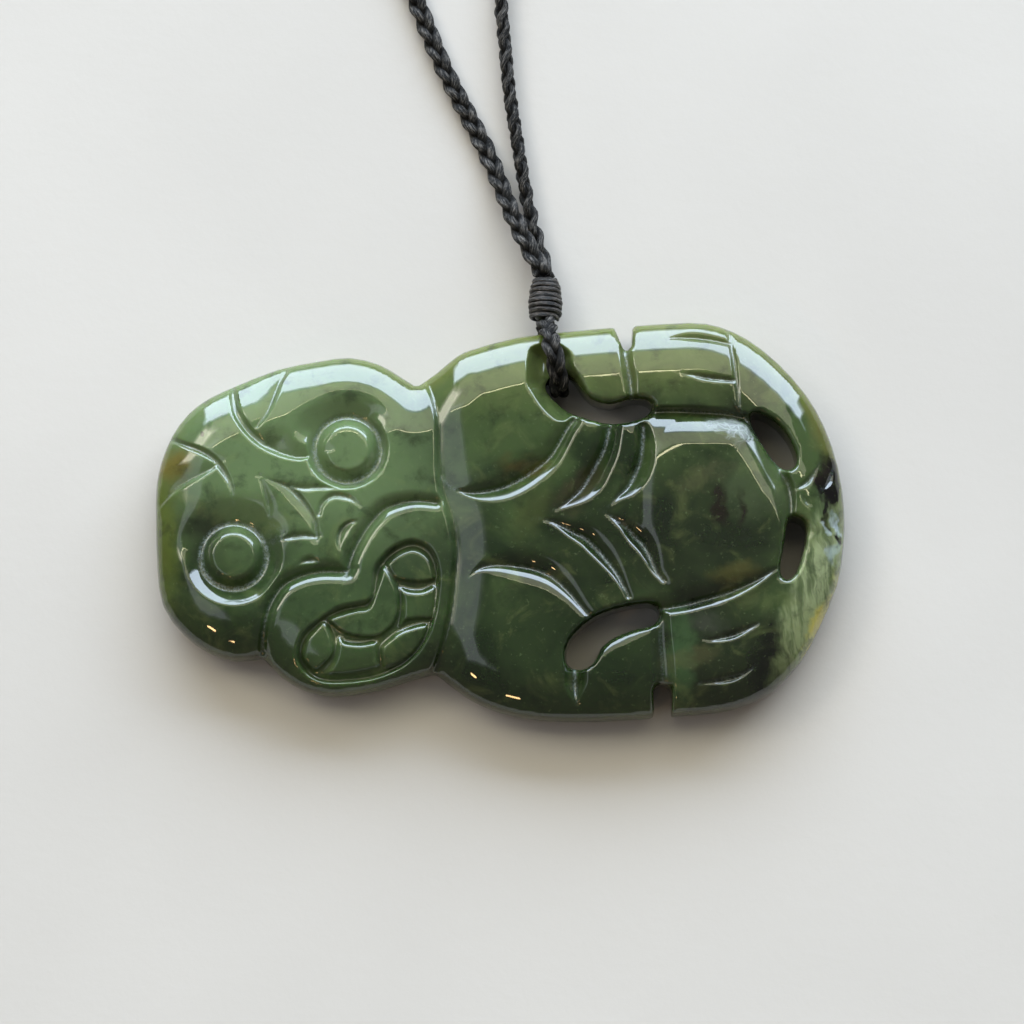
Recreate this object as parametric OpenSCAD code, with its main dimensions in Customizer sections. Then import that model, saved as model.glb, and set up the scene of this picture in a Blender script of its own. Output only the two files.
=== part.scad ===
/* [Figure] */
// Length of the figure, crown of the head to the feet
figure_l = 69.8; // [69.4:0.1:70.2]
// Width of the figure, shoulder to hip
figure_w = 40.7; // [40.5:0.1:40.9]
// Thickness of the stone at its flat middle
figure_t = 6.8; // [6.6:0.1:7.2]
// How far the belly stands above the rest
belly_rise = 0.4; // [0:0.1:0.6]

/* [Carved lines] */
// Depth of the broad lines that part the limbs and ribs
limb_depth = 1.1; // [0.7:0.1:1.3]
// Depth of the fine lines of the face, fingers and toes
fine_depth = 0.55; // [0.3:0.05:0.7]
// Depth of the mouth's hollow
mouth_depth = 1.7; // [1.2:0.1:2.0]

/* [Cord] */
// Width of the flat plait
plait_w = 2.1; // [1.9:0.05:2.15]
// Thickness of the flat plait
plait_t = 1.5; // [1.3:0.05:1.55]

/* [Whipping] */
// Length of the thread winding above the figure
whipping_l = 4.75; // [4.5:0.05:4.75]
// Diameter of the winding at its widest
whipping_d = 3.7; // [3.5:0.1:3.8]
// Length of the plain winding that joins the cord's ends
join_l = 6; // [5:0.5:7]
// Diameter of that winding
join_d = 2.7; // [2.5:0.1:2.9]

/* [Hidden] */

X = 0;
Y = 1;
Z = 2;
stone = "#4d6b3a";
black_cord = "#1c1a1b";

// The tables below are drawn for a figure of this length and width
drawn_l = 69.8;
drawn_w = 40.7;
plan_scale = [figure_l / drawn_l, figure_w / drawn_w, 1];

// Outline of the head, from the corner under its lower brow round to the neck, [x, y]
HEAD = [
    [-23.8, -13.9], [-26.5, -14.2], [-29.3, -13.4], [-32.0, -11.4], [-34.0, -8.6],
    [-34.6, -5.0], [-34.8, 0.0], [-34.8, 3.4], [-34.3, 6.1], [-33.2, 8.8],
    [-31.6, 11.0], [-29.5, 12.6], [-26.5, 14.0], [-22.4, 15.6], [-18.5, 16.4],
    [-15.2, 16.8], [-12.2, 16.1], [-10.1, 14.9], [-8.4, 13.8]];

// Outline of the body, from the neck along the upper arm, round the feet and back
BODY = [
    [-8.4, 13.8], [-6.4, 15.2], [-4.4, 16.9], [-2.6, 17.7], [1.9, 18.9],
    [7.0, 19.5], [12.6, 20.0], [19.2, 20.4], [22.4, 20.0], [25.4, 18.6],
    [28.4, 16.2], [31.2, 13.0], [33.1, 9.6], [34.4, 5.6], [35.0, 1.2],
    [34.9, -2.6], [34.2, -6.6], [32.3, -11.0], [30.4, -14.4], [27.4, -17.4],
    [23.6, -19.1], [19.0, -19.7], [10.0, -20.3], [4.1, -20.2], [0.0, -19.4],
    [-3.3, -17.9], [-6.4, -15.5]];

// Outline of the lips, from the neck back to the corner under the lower brow
LIPS = [
    [-6.4, -15.5], [-9.0, -16.2], [-12.2, -17.2], [-16.3, -17.8], [-19.4, -17.3],
    [-22.0, -15.8], [-23.8, -13.9]];

// The rounded edge, from the back to the front, [inset from the outline, share of the thickness]
EDGE = [
    [0.9, 0.00], [0.25, 0.05], [0.0, 0.15], [0.0, 0.38], [0.15, 0.54], [0.5, 0.69],
    [1.1, 0.82], [2.0, 0.92], [3.2, 0.98], [4.3, 1.00]];

// The same edge seen from the front, [inset, share of the thickness]
EDGE_FRONT = [for (i = [3 : len(EDGE) - 1]) EDGE[i]];

// Windows cut right through the stone, [x, y]
HAND_WINDOW = [
    [4.7, 13.7], [5.1, 12.7], [6.7, 11.2], [8.6, 10.3], [10.6, 9.8], [12.8, 9.8],
    [14.6, 10.4], [15.4, 11.2], [15.0, 11.9], [13.4, 12.1], [11.3, 11.5],
    [9.2, 12.1], [8.1, 13.4], [7.2, 14.6], [5.5, 14.8]];
HIP_WINDOW = [
    [6.8, -14.0], [7.1, -12.5], [8.4, -11.0], [10.2, -9.8], [12.4, -9.1], [14.8, -8.7],
    [16.0, -9.2], [15.7, -10.6], [13.7, -11.1], [11.6, -11.9], [10.2, -13.0],
    [9.4, -14.6], [8.2, -15.2], [7.1, -14.9]];
UPPER_LEG_WINDOW = [
    [25.4, 10.3], [26.3, 10.6], [27.9, 9.7], [29.3, 8.0], [30.0, 6.0], [29.5, 5.1],
    [28.4, 5.2], [27.1, 6.9], [26.0, 8.7]];
LOWER_LEG_WINDOW = [
    [29.2, -0.2], [30.0, 0.0], [30.9, -0.7], [30.8, -2.4], [30.1, -4.9], [29.3, -6.1],
    [28.5, -5.9], [28.4, -4.6], [28.8, -2.6]];
WINDOWS = [HAND_WINDOW, HIP_WINDOW, UPPER_LEG_WINDOW, LOWER_LEG_WINDOW];

// Notches in the two long sides, [x, y]
ELBOW_NOTCH = [
    [11.3, 21.5], [11.8, 19.6], [12.7, 17.2], [13.3, 17.2], [13.5, 19.6], [13.6, 21.5]];
HIP_NOTCH = [
    [15.6, -21.5], [15.6, -17.2], [16.0, -16.8], [16.9, -16.8], [17.3, -17.2], [17.3, -21.5]];

// Broad lines, [x, y], with the width of each at its middle
LIMB_LINES = [
    // neck
    [3.0, [[-7.8, 14.0], [-6.6, 12.0], [-6.0, 9.0], [-6.0, 5.0], [-5.2, 1.6], [-4.4, -2.0],
           [-4.4, -6.0], [-5.0, -11.4], [-6.4, -15.2]]],
    // upper arm
    [1.3, [[-5.7, 3.8], [-4.4, 2.5], [-2.0, 1.9], [0.1, 2.4], [2.1, 3.3], [4.2, 4.6],
           [5.9, 6.2], [7.0, 8.0], [7.6, 9.8]]],
    // two ribs above the middle
    [1.3, [[11.5, 9.2], [11.5, 7.1], [10.3, 4.7], [8.6, 2.3], [5.9, 0.5]]],
    [1.3, [[14.7, 9.6], [15.1, 7.5], [14.3, 4.3], [12.6, 2.0], [11.2, 1.0]]],
    // two ribs below the middle
    [1.2, [[4.2, -0.4], [7.2, -1.7], [9.5, -3.5], [11.5, -5.7], [12.6, -7.7]]],
    [1.1, [[10.2, 0.5], [12.7, -1.8], [14.6, -4.4], [15.8, -7.2]]],
    // lower arm
    [1.4, [[-3.2, -6.3], [-1.4, -5.2], [1.1, -4.9], [3.6, -5.2], [6.2, -6.3], [8.0, -8.3],
           [9.2, -9.4]]],
    // between the belly and the upper leg, and the belly and the lower leg
    [1.3, [[15.3, 11.1], [18.4, 11.3], [21.6, 11.2], [25.2, 10.6]]],
    [1.7, [[15.9, -9.1], [19.7, -8.8], [23.1, -8.0], [26.3, -6.6], [28.5, -4.9]]],
    // below the elbow notch and above the hip notch
    [1.2, [[13.0, 17.4], [13.2, 15.0], [13.5, 12.3]]],
    [1.8, [[16.1, -10.2], [16.3, -13.5], [16.5, -17.0]]],
    // wrist of the lower hand
    [1.5, [[7.7, -14.9], [7.6, -16.6], [7.6, -18.4]]]];

// Fine lines, [x, y], with the width of each at its middle
FINE_LINES = [
    // upper and lower brow
    [0.9, [[-27.0, 13.8], [-26.7, 11.2], [-25.5, 9.1], [-23.8, 7.4], [-21.7, 6.5], [-19.8, 6.4]]],
    [0.9, [[-33.3, 8.4], [-31.6, 7.5], [-29.0, 6.0], [-27.6, 4.2], [-26.7, 1.3]]],
    // ridge of the nose and its branches
    [0.6, [[-24.0, 4.1], [-21.5, 3.2], [-19.3, 1.2], [-18.4, -0.6]]],
    [0.6, [[-21.5, 3.2], [-19.3, 2.9], [-17.2, 3.3]]],
    [0.6, [[-24.1, 4.1], [-23.2, 2.0], [-23.1, -0.3]]],
    [0.6, [[-23.1, -2.8], [-20.3, -2.2], [-18.2, -1.9]]],
    [0.6, [[-18.3, 0.2], [-18.3, -2.1]]],
    // sides of the nose
    [0.7, [[-18.1, 0.3], [-17.1, 1.9], [-15.9, 2.1], [-14.4, 1.2], [-13.5, 0.7]]],
    [0.8, [[-21.0, -4.7], [-19.3, -4.2], [-17.4, -4.6], [-16.5, -5.2]]],
    // upper edge of the lips, in two bows
    [0.8, [[-23.6, -12.4], [-23.2, -9.0], [-21.4, -6.5], [-18.3, -5.4], [-15.2, -5.9]]],
    [0.8, [[-15.2, -5.9], [-14.2, -4.0], [-13.0, -0.9], [-11.2, 0.9], [-8.1, 1.4], [-6.2, 1.6]]],
    // upper ankle and toes
    [0.7, [[23.3, 19.5], [23.9, 14.5], [24.2, 11.6]]],
    [0.6, [[16.6, 18.2], [18.8, 18.4], [23.2, 17.8]]],
    [0.6, [[17.9, 14.7], [20.2, 14.3], [23.7, 13.9]]],
    // lower knee and toes
    [0.6, [[16.2, -9.8], [18.4, -9.9], [20.4, -9.4], [23.2, -8.4]]],
    [0.6, [[20.5, -12.3], [22.1, -12.4], [24.0, -12.0], [25.9, -10.9]]],
    [0.6, [[20.1, -16.5], [22.5, -16.4], [24.0, -16.0], [25.6, -15.0]]],
    // where the feet meet
    [0.6, [[29.4, 2.8], [30.9, 3.5], [32.2, 5.3]]],
    [0.6, [[32.4, 3.0], [33.3, 3.7], [33.8, 5.3]]]];

// Eyes, [x, y]
EYES = [[-15.3, 7.1], [-26.7, -3.9]];
// Cut that leaves an eye's disc standing in its ring and dish, [radius, depth]
EYE_CUT = [[0, 0.25], [1.6, 0.35], [2.3, 0.6], [2.8, 1.25], [3.4, 1.25], [4.9, 0.1], [5.5, -0.4]];

// Nostril that lies open beside the lips, [x, y]
NOSTRIL = [[-14.0, -0.5], [-15.0, -1.0], [-15.4, -2.2], [-15.2, -3.2]];
nostril_w = 1.6;

// Hollow of the mouth, and what stands in it, [x, y]
MOUTH = [
    [-13.0, -8.8], [-15.2, -9.2], [-17.4, -9.7], [-19.3, -10.7], [-20.3, -12.2],
    [-20.2, -13.8], [-19.3, -15.4], [-17.3, -16.1], [-13.1, -15.9], [-10.9, -15.3],
    [-8.5, -14.1], [-7.0, -12.3], [-6.2, -9.6], [-5.9, -6.0], [-6.6, -3.2],
    [-8.1, -2.0], [-9.7, -2.1], [-11.2, -3.2], [-12.3, -5.6]];
TONGUE = [
    [-17.6, -9.4], [-16.8, -10.7], [-15.2, -11.7], [-12.7, -12.0], [-10.6, -11.0],
    [-10.0, -8.5], [-10.6, -6.2], [-11.6, -4.3], [-13.4, -5.6], [-14.4, -8.6]];
UPPER_PAD = [
    [-19.7, -11.4], [-17.5, -10.6], [-16.9, -12.4], [-17.4, -14.3], [-18.6, -15.0],
    [-19.8, -13.6]];
LOWER_PAD = [
    [-10.0, -6.0], [-10.4, -4.2], [-9.4, -2.9], [-8.0, -2.8], [-6.8, -4.0], [-6.6, -5.8]];
TOOTH_PAD = [
    [-11.2, -12.8], [-9.2, -11.6], [-7.8, -11.2], [-8.4, -12.9], [-10.0, -14.2],
    [-11.4, -14.6]];
tongue_depth = 0.2;
pad_depth = 0.9;

// Dish that the cord lies in beside the upper hand, [x, y]
CORD_DISH = [
    [3.4, 17.4], [2.8, 16.3], [2.7, 15.0], [3.4, 12.6], [4.9, 10.5], [6.0, 9.8],
    [7.4, 10.6], [7.9, 13.6], [7.4, 16.6], [5.6, 17.9]];
dish_middle = [5.6, 13.4];
dish_depth = 2.2;
dish_floor_share = 0.62;

// Scoop in the back, where the cord passes under the forearm
scoop_from = [6.4, 13.2];
scoop_to = [4.9, 20.6];
scoop_w = 5.0;
scoop_depth = 2.1;

// The belly's pillow, [x, y], and its crowned shape, [share of the size, share of the rise]
BELLY = [
    [15.8, 9.4], [18.6, 10.2], [21.6, 10.3], [24.8, 9.6], [27.2, 6.6], [28.5, 4.2],
    [29.0, 1.8], [28.9, -1.0], [28.0, -4.2], [26.0, -5.8], [23.0, -7.0], [19.7, -7.9],
    [16.4, -8.2], [15.4, -3.0], [15.2, 3.6]];
belly_middle = [22.0, 1.2];
BELLY_CROWN = [[1.0, -0.4], [0.93, 0.35], [0.8, 0.7], [0.55, 0.95], [0.3, 1.0]];

// Smooth curve through the points p, n steps to a span
function catmull(a, b, c, d, t) =
    (2 * b + (c - a) * t + (2 * a - 5 * b + 4 * c - d) * t * t
     + (3 * b - a - 3 * c + d) * t * t * t) / 2;
function open_curve(p, n) = [
    for (i = [0 : len(p) - 2], k = [0 : n - 1])
        catmull(p[max(i - 1, 0)], p[i], p[i + 1], p[min(i + 2, len(p) - 1)], k / n)];
function whole_curve(p, n) = concat(open_curve(p, n), [p[len(p) - 1]]);
function closed_curve(p, n) = [
    for (i = [0 : len(p) - 1], k = [0 : n - 1])
        catmull(p[(i + len(p) - 1) % len(p)], p[i], p[(i + 1) % len(p)],
                p[(i + 2) % len(p)], k / n)];
function unit(v) = v / norm(v);

// The whole outline, clockwise
OUTLINE = concat(open_curve(HEAD, 2), open_curve(BODY, 2), open_curve(LIPS, 2));
function inset_point(i, d) =
    let (n = len(OUTLINE),
         along = unit(OUTLINE[(i + 1) % n] - OUTLINE[(i + n - 1) % n]))
    OUTLINE[i] + d * [along[Y], -along[X]];

// Height of the front at the place p, from how far it is inside the outline
function edge_distance(p) = min([for (q = OUTLINE) norm(p - q)]);
function front(p) = figure_t * lookup(edge_distance(p), EDGE_FRONT);

module blank() {
    n = len(OUTLINE);
    rings = len(EDGE);
    points = [for (row = EDGE, i = [0 : n - 1])
        concat(inset_point(i, row[0]), [figure_t * row[1]])];
    walls = [for (r = [0 : rings - 2], i = [0 : n - 1])
        [r * n + i, r * n + (i + 1) % n, (r + 1) * n + (i + 1) % n, (r + 1) * n + i]];
    back = [for (i = [n - 1 : -1 : 0]) i];
    face = [for (i = [0 : n - 1]) (rings - 1) * n + i];
    polyhedron(points, concat([back], walls, [face]), convexity = 6);
}

module belly() {
    thin = 0.02;
    hull()
        for (row = BELLY_CROWN)
            translate([belly_middle[X], belly_middle[Y], figure_t + belly_rise * row[1]])
                scale([row[0], row[0], 1])
                    translate([-belly_middle[X], -belly_middle[Y], -thin])
                        linear_extrude(height = thin)
                            polygon(closed_curve(BELLY, 2));
}

// One stroke of a carved line: a tapered cutter with its point at the line's bottom
module stroke(p, width, depth) {
    over = 1;
    tip_r = 0.12;
    translate([p[X], p[Y], front(p) - depth])
        cylinder(h = depth + over, r1 = tip_r, r2 = width / 2 * (depth + over) / depth, $fn = 8);
}

// A carved line that is full in its middle and thin at its ends
module line(points, width, depth) {
    end_share = 0.45;
    route = whole_curve(points, 2);
    last = len(route) - 1;
    function full(i) = end_share + (1 - end_share) * sin(180 * i / last);
    for (i = [0 : last - 1])
        hull() {
            stroke(route[i], width * full(i), depth * full(i));
            stroke(route[i + 1], width * full(i + 1), depth * full(i + 1));
        }
}

module eye_cut(at) {
    level = front(at);
    over = 1;
    rim = EYE_CUT[len(EYE_CUT) - 1][0];
    profile = concat([for (row = EYE_CUT) [row[0], level - row[1]]],
                     [[rim + over / 2, level + over], [0, level + over]]);
    translate([at[X], at[Y], 0])
        rotate_extrude($fn = 28)
            polygon(profile);
}

// What stands in the mouth, from its floor up to a depth below the front
module standing(outline, depth) {
    linear_extrude(height = figure_t - depth)
        polygon(closed_curve(outline, 2));
}

module mouth_cut() {
    difference() {
        translate([0, 0, figure_t - mouth_depth])
            linear_extrude(height = mouth_depth + 1)
                polygon(closed_curve(MOUTH, 2));
        standing(TONGUE, tongue_depth);
        standing(UPPER_PAD, pad_depth);
        standing(LOWER_PAD, pad_depth);
        standing(TOOTH_PAD, pad_depth);
    }
}

module dish_cut() {
    lip = 0.15;
    over = 0.5;
    hull() {
        translate([0, 0, figure_t + lip])
            linear_extrude(height = over)
                polygon(CORD_DISH);
        translate([dish_middle[X], dish_middle[Y], figure_t - dish_depth])
            scale([dish_floor_share, dish_floor_share, 1])
                translate([-dish_middle[X], -dish_middle[Y], 0])
                    linear_extrude(height = over)
                        polygon(CORD_DISH);
    }
}

module scoop_end(at) {
    translate([at[X], at[Y], 0])
        scale([scoop_w / 2, scoop_w / 2, scoop_depth])
            sphere(r = 1, $fn = 16);
}

module scoop_cut() {
    hull() {
        scoop_end(scoop_from);
        scoop_end(scoop_to);
    }
}

module through(outline) {
    translate([0, 0, -1])
        linear_extrude(height = figure_t + 3)
            polygon(outline);
}

module tiki() {
    color(stone)
        scale(plan_scale)
            difference() {
                union() {
                    blank();
                    belly();
                }
                for (window = WINDOWS) through(closed_curve(window, 2));
                through(ELBOW_NOTCH);
                through(HIP_NOTCH);
                for (row = LIMB_LINES) line(row[1], row[0], limb_depth);
                for (row = FINE_LINES) line(row[1], row[0], fine_depth);
                for (at = EYES) eye_cut(at);
                line(NOSTRIL, nostril_w, limb_depth);
                mouth_cut();
                dish_cut();
                scoop_cut();
            }
}

// Near end of the whipping's axis, above the figure's edge, and its lean towards the ground
whipping_low = [4.7, 20.55, 3.0];
whipping_lean = 6;
whipping_way = [0, cos(whipping_lean), -sin(whipping_lean)];

// Shape of the winding, [radius as a share of its diameter, share of its length]
WHIPPING_SHAPE = [[0, 0], [0.46, 0], [0.5, 0.14], [0.5, 0.4], [0.45, 0.75], [0.41, 1], [0, 1]];

// Middle of the plain winding behind the neck
join_at = [-9.5, 308, 1.4];

// Route of the cord's loop round the forearm, over the front and back underneath, [x, y, z]
LOOP_ROUTE = [
    [4.7, 20.54, 3.85], [4.8, 20.05, 4.2], [4.9, 19.6, 4.85], [5.0, 19.2, 5.55],
    [5.1, 18.6, 6.3], [5.3, 17.6, 7.0], [5.6, 16.5, 7.0], [5.8, 15.4, 6.5],
    [6.0, 14.4, 5.7], [6.1, 13.65, 4.7], [6.15, 13.4, 3.6], [6.15, 13.45, 2.5],
    [6.1, 13.7, 1.6], [6.0, 14.3, 0.95], [5.8, 15.3, 0.8], [5.5, 17.0, 0.8],
    [5.1, 18.6, 0.8], [4.9, 19.3, 1.0], [4.8, 19.75, 1.4], [4.7, 20.34, 2.15]];

// Route of the left leg, from the whipping round to the join, [x, y, z, turn on edge]
LEFT_ROUTE = [
    [4.5, 25.45, 3.3, 0], [1.6, 31.2, 2.4, 0], [-1.6, 38.6, 0.8, 0], [-6.7, 48.3, 0.8, 0],
    [-12, 62, 0.8, 0], [-25, 92, 0.8, 0], [-41, 122, 0.8, 0], [-56, 152, 0.8, 0],
    [-67, 183, 0.8, 0], [-71.5, 215, 0.8, 0], [-70, 246, 0.8, 0], [-60, 274, 0.8, 0],
    [-42, 295, 0.8, 0], [-28, 303, 1.0, 0], [-12.6, 308, 1.4, 0]];

// Route of the right leg, [x, y, z, turn on edge]
RIGHT_ROUTE = [
    [4.8, 25.3, 1.7, 0], [3.3, 31.2, 1.1, 60], [2.0, 38.6, 1.1, 90], [0.7, 48.3, 1.1, 90],
    [0.5, 62, 1.0, 60], [6, 92, 0.9, 20], [17, 122, 0.8, 0], [30, 152, 0.8, 0],
    [42, 183, 0.8, 0], [49, 215, 0.8, 0], [50, 246, 0.8, 0], [43, 274, 0.8, 0],
    [27, 295, 0.8, 0], [12, 303, 1.0, 0], [-6.4, 308, 1.4, 0]];

// Direction of the cord at each point of p, square to what it meets at its two ends
function along(p, first, last) = [
    for (i = [0 : len(p) - 1])
        i == 0 ? first : i == len(p) - 1 ? last : unit(p[i + 1] - p[i - 1])];
function places(route) = [for (row = route) [row[X], row[Y], row[Z]]];
// Direction across the flat of the plait where it lies on the ground, turned on edge by an angle
function lying_across(t, turn) =
    let (level = unit(cross(t, [0, 0, 1])))
    level * cos(turn) + cross(level, t) * sin(turn);
// The same where it goes round the forearm, kept along the figure
function hanging_across(t) = unit([1, 0, 0] - t * t[X]);

// A tube of oval section through the points p, with its direction and the way across it at each
module tube(p, way, across) {
    sides = 8;
    rings = len(p);
    points = [for (i = [0 : rings - 1], k = [0 : sides - 1])
        let (up = cross(across[i], way[i]), a = 360 * (k + 0.5) / sides)
        p[i] + across[i] * cos(a) * plait_w / 2 + up * sin(a) * plait_t / 2];
    walls = [for (r = [0 : rings - 2], k = [0 : sides - 1])
        [r * sides + k, r * sides + (k + 1) % sides,
         (r + 1) * sides + (k + 1) % sides, (r + 1) * sides + k]];
    start = [for (k = [sides - 1 : -1 : 0]) k];
    end = [for (k = [0 : sides - 1]) (rings - 1) * sides + k];
    polyhedron(points, concat([start], walls, [end]), convexity = 10);
}

module leg(route, last_way) {
    rows = whole_curve(route, 2);
    p = places(rows);
    way = along(p, whipping_way, last_way);
    tube(p, way, [for (i = [0 : len(p) - 1]) lying_across(way[i], rows[i][3])]);
}

module hanging_loop() {
    way = along(LOOP_ROUTE, -whipping_way, whipping_way);
    color(black_cord)
        tube(LOOP_ROUTE, way, [for (t = way) hanging_across(t)]);
}

// Winding over both legs
module whipping() {
    profile = [for (row = WHIPPING_SHAPE) [row[0] * whipping_d, row[1] * whipping_l]];
    color(black_cord)
        translate(whipping_low)
            rotate([-90 - whipping_lean, 0, 0])
                rotate_extrude($fn = 32)
                    polygon(profile);
}

module cord_left() {
    color(black_cord) leg(LEFT_ROUTE, [1, 0, 0]);
}

module cord_right() {
    color(black_cord) leg(RIGHT_ROUTE, [-1, 0, 0]);
}

// Plain winding over the cord's two ends, behind the neck
module join_whipping() {
    color(black_cord)
        translate(join_at)
            rotate([0, 90, 0])
                cylinder(h = join_l, d = join_d, center = true, $fn = 24);
}

tiki();
hanging_loop();
whipping();
cord_left();
cord_right();
join_whipping();
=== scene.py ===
"""Carved greenstone hei tiki on a black plaited cord, lying on a pale floor."""

from math import ceil, cos, pi, radians, sin

import bmesh
import bpy
import numpy as np
from mathutils import Matrix, Vector, kdtree


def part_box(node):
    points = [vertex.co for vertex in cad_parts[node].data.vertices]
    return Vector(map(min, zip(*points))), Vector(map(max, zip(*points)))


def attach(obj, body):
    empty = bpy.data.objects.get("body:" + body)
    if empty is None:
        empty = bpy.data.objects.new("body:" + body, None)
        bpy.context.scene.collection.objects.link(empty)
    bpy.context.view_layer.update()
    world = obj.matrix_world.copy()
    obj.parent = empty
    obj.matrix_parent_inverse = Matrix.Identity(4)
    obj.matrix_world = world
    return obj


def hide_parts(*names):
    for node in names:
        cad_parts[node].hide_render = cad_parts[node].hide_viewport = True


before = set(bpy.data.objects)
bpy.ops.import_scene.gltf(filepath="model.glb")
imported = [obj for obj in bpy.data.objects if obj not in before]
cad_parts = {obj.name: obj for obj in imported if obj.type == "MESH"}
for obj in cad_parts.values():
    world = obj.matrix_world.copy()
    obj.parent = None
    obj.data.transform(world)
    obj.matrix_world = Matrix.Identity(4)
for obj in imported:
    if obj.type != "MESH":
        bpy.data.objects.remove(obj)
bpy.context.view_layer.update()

MM = 0.001
TURN = 2 * pi


# Small helpers for routes, outlines and pieces

def smooth_spans(rows, steps):
    """Smooth spans through the rows. The first and the last row only steer the ends."""
    t = np.linspace(0, 1, steps, endpoint=False)[:, None]
    return [(2 * b + (c - a) * t + (2 * a - 5 * b + 4 * c - d) * t ** 2
             + (3 * b - a - 3 * c + d) * t ** 3) / 2
            for a, b, c, d in zip(rows, rows[1:], rows[2:], rows[3:])]


def smooth_route(points, steps):
    """Smooth curve through the points, with that many steps to a span, ends kept."""
    rows = np.array(points, float)
    spans = smooth_spans(np.vstack([rows[:1], rows, rows[-1:]]), steps)
    return np.vstack(spans + [rows[-1:]])


def smooth_outline(points, steps):
    """Smooth closed curve through the points, its first point repeated at its end."""
    rows = np.array(points, float)
    spans = smooth_spans(np.vstack([rows[-1:], rows, rows[:2]]), steps)
    return np.vstack(spans + [spans[0][:1]])


def travelled(rows):
    """How far along the route each of its points lies."""
    return np.concatenate([[0], np.cumsum(np.linalg.norm(np.diff(rows, axis=0), axis=1))])


def even_steps(rows, step):
    """The same route with points that lie one step apart along it, and how far along they lie."""
    length = travelled(rows[:, :3])
    count = max(2, int(round(length[-1] / step)) + 1)
    places = np.linspace(0, length[-1], count)
    return places, np.stack([np.interp(places, length, column) for column in rows.T], axis=1)


def unit(v):
    return v / np.linalg.norm(v, axis=-1, keepdims=True)


def clipped(t):
    return np.clip(t, 0, 1)


def ease(t):
    """A smooth step from 0 to 1."""
    t = clipped(t)
    return t * t * (3 - 2 * t)


def directions(rows, first, last):
    """Direction along the route at each point, with its two ends given."""
    way = np.gradient(rows[:, :3], axis=0)
    way[0], way[-1] = first, last
    return unit(way)


def points_in(geometry):
    return [g for g in geometry if isinstance(g, bmesh.types.BMVert)]


def new_object(name, data):
    thing = bpy.data.objects.new(name, data)
    bpy.context.scene.collection.objects.link(thing)
    return thing


def mesh_object(name, bm):
    mesh = bpy.data.meshes.new(name)
    bm.to_mesh(mesh)
    bm.free()
    return new_object(name, mesh)


def new_piece(name, bm, material, slot, *nodes):
    """A piece made in millimetres, which rides on the one body and stands for the named nodes."""
    bmesh.ops.scale(bm, vec=(MM, MM, MM), verts=bm.verts)
    bmesh.ops.recalc_face_normals(bm, faces=bm.faces)
    for face in bm.faces:
        face.smooth = True
    piece = mesh_object(name, bm)
    piece.data.materials.append(material)
    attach(piece, "root")
    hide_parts(*nodes)


# Camera, nearly straight above the figure and a little towards its lower side

LOOK_AT = Vector((1.3, 1.0, 3.0)) * MM
CAMERA_ELEVATION = radians(83)
CAMERA_DISTANCE = 0.45
SENSOR = 36.0
FRAME_WIDTH = 103.8


def add_camera():
    data = bpy.data.cameras.new("camera")
    data.sensor_width = SENSOR
    data.lens = SENSOR * CAMERA_DISTANCE / (FRAME_WIDTH * MM)
    data.clip_start = 0.01
    camera = new_object("camera", data)
    back = Vector((0, -cos(CAMERA_ELEVATION), sin(CAMERA_ELEVATION)))
    camera.location = LOOK_AT + back * CAMERA_DISTANCE
    camera.rotation_euler = back.to_track_quat("Z", "Y").to_euler()
    bpy.context.scene.camera = camera


add_camera()


# Node helpers for the materials. An input is a number or another node's output.

def set_inputs(tree, node, inputs):
    for key, value in inputs.items():
        if isinstance(value, bpy.types.NodeSocket):
            tree.links.new(value, node.inputs[key])
        else:
            node.inputs[key].default_value = value


def add_node(tree, kind, inputs, **settings):
    node = tree.nodes.new("ShaderNode" + kind)
    for key, value in settings.items():
        setattr(node, key, value)
    set_inputs(tree, node, inputs)
    return node


def new_material(name):
    material = bpy.data.materials.new(name)
    material.use_nodes = True
    tree = material.node_tree
    tree.nodes.clear()
    surface = add_node(tree, "BsdfPrincipled", {})
    add_node(tree, "OutputMaterial", {"Surface": surface.outputs["BSDF"]})
    return material, tree, surface


def noise_of(tree, vector, scale, detail, roughness, distortion=0.0):
    return add_node(tree, "TexNoise", {"Vector": vector, "Scale": scale, "Detail": detail,
                                       "Roughness": roughness, "Distortion": distortion}).outputs


def maths(tree, operation, a, b=0.0, clamp=False):
    return add_node(tree, "Math", {0: a, 1: b}, operation=operation, use_clamp=clamp).outputs[0]


def times(tree, a, b):
    return maths(tree, "MULTIPLY", a, b)


def plus(tree, a, b, clamp=False):
    return maths(tree, "ADD", a, b, clamp)


def spread(tree, value, low, high, to_low=0.0, to_high=1.0):
    """A smooth step of value from low to high."""
    ends = {"From Min": low, "From Max": high, "To Min": to_low, "To Max": to_high}
    node = add_node(tree, "MapRange", {"Value": value, **ends}, interpolation_type="SMOOTHSTEP")
    return node.outputs["Result"]


def blend(tree, share, a, b):
    node = add_node(tree, "Mix", {"Factor": share, "A": a, "B": b}, data_type="RGBA")
    return node.outputs["Result"]


def bump(tree, height, strength, distance, **below):
    """Relief of that height. A coarser one below it is given as Normal."""
    inputs = {"Height": height, "Strength": strength, "Distance": distance, **below}
    return add_node(tree, "Bump", inputs).outputs["Normal"]


def attribute(tree, name):
    """A number that the mesh holds at each of its points."""
    return add_node(tree, "Attribute", {}, attribute_name=name).outputs["Fac"]


def own_place(tree):
    """Where on the piece the colour is asked for, in metres."""
    return add_node(tree, "TexCoord", {}).outputs["Object"]


def split(tree, vector):
    return add_node(tree, "SeparateXYZ", {"Vector": vector}).outputs


def colour(red, green, blue):
    """A colour given as it looks on a screen, from 0 to 255."""
    return tuple(((c / 255 + 0.055) / 1.055) ** 2.4 if c > 10 else c / 255 / 12.92
                 for c in (red, green, blue)) + (1.0,)


# Waxed cord. A noise is its scale, detail and roughness. The cuts are in metres.

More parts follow.
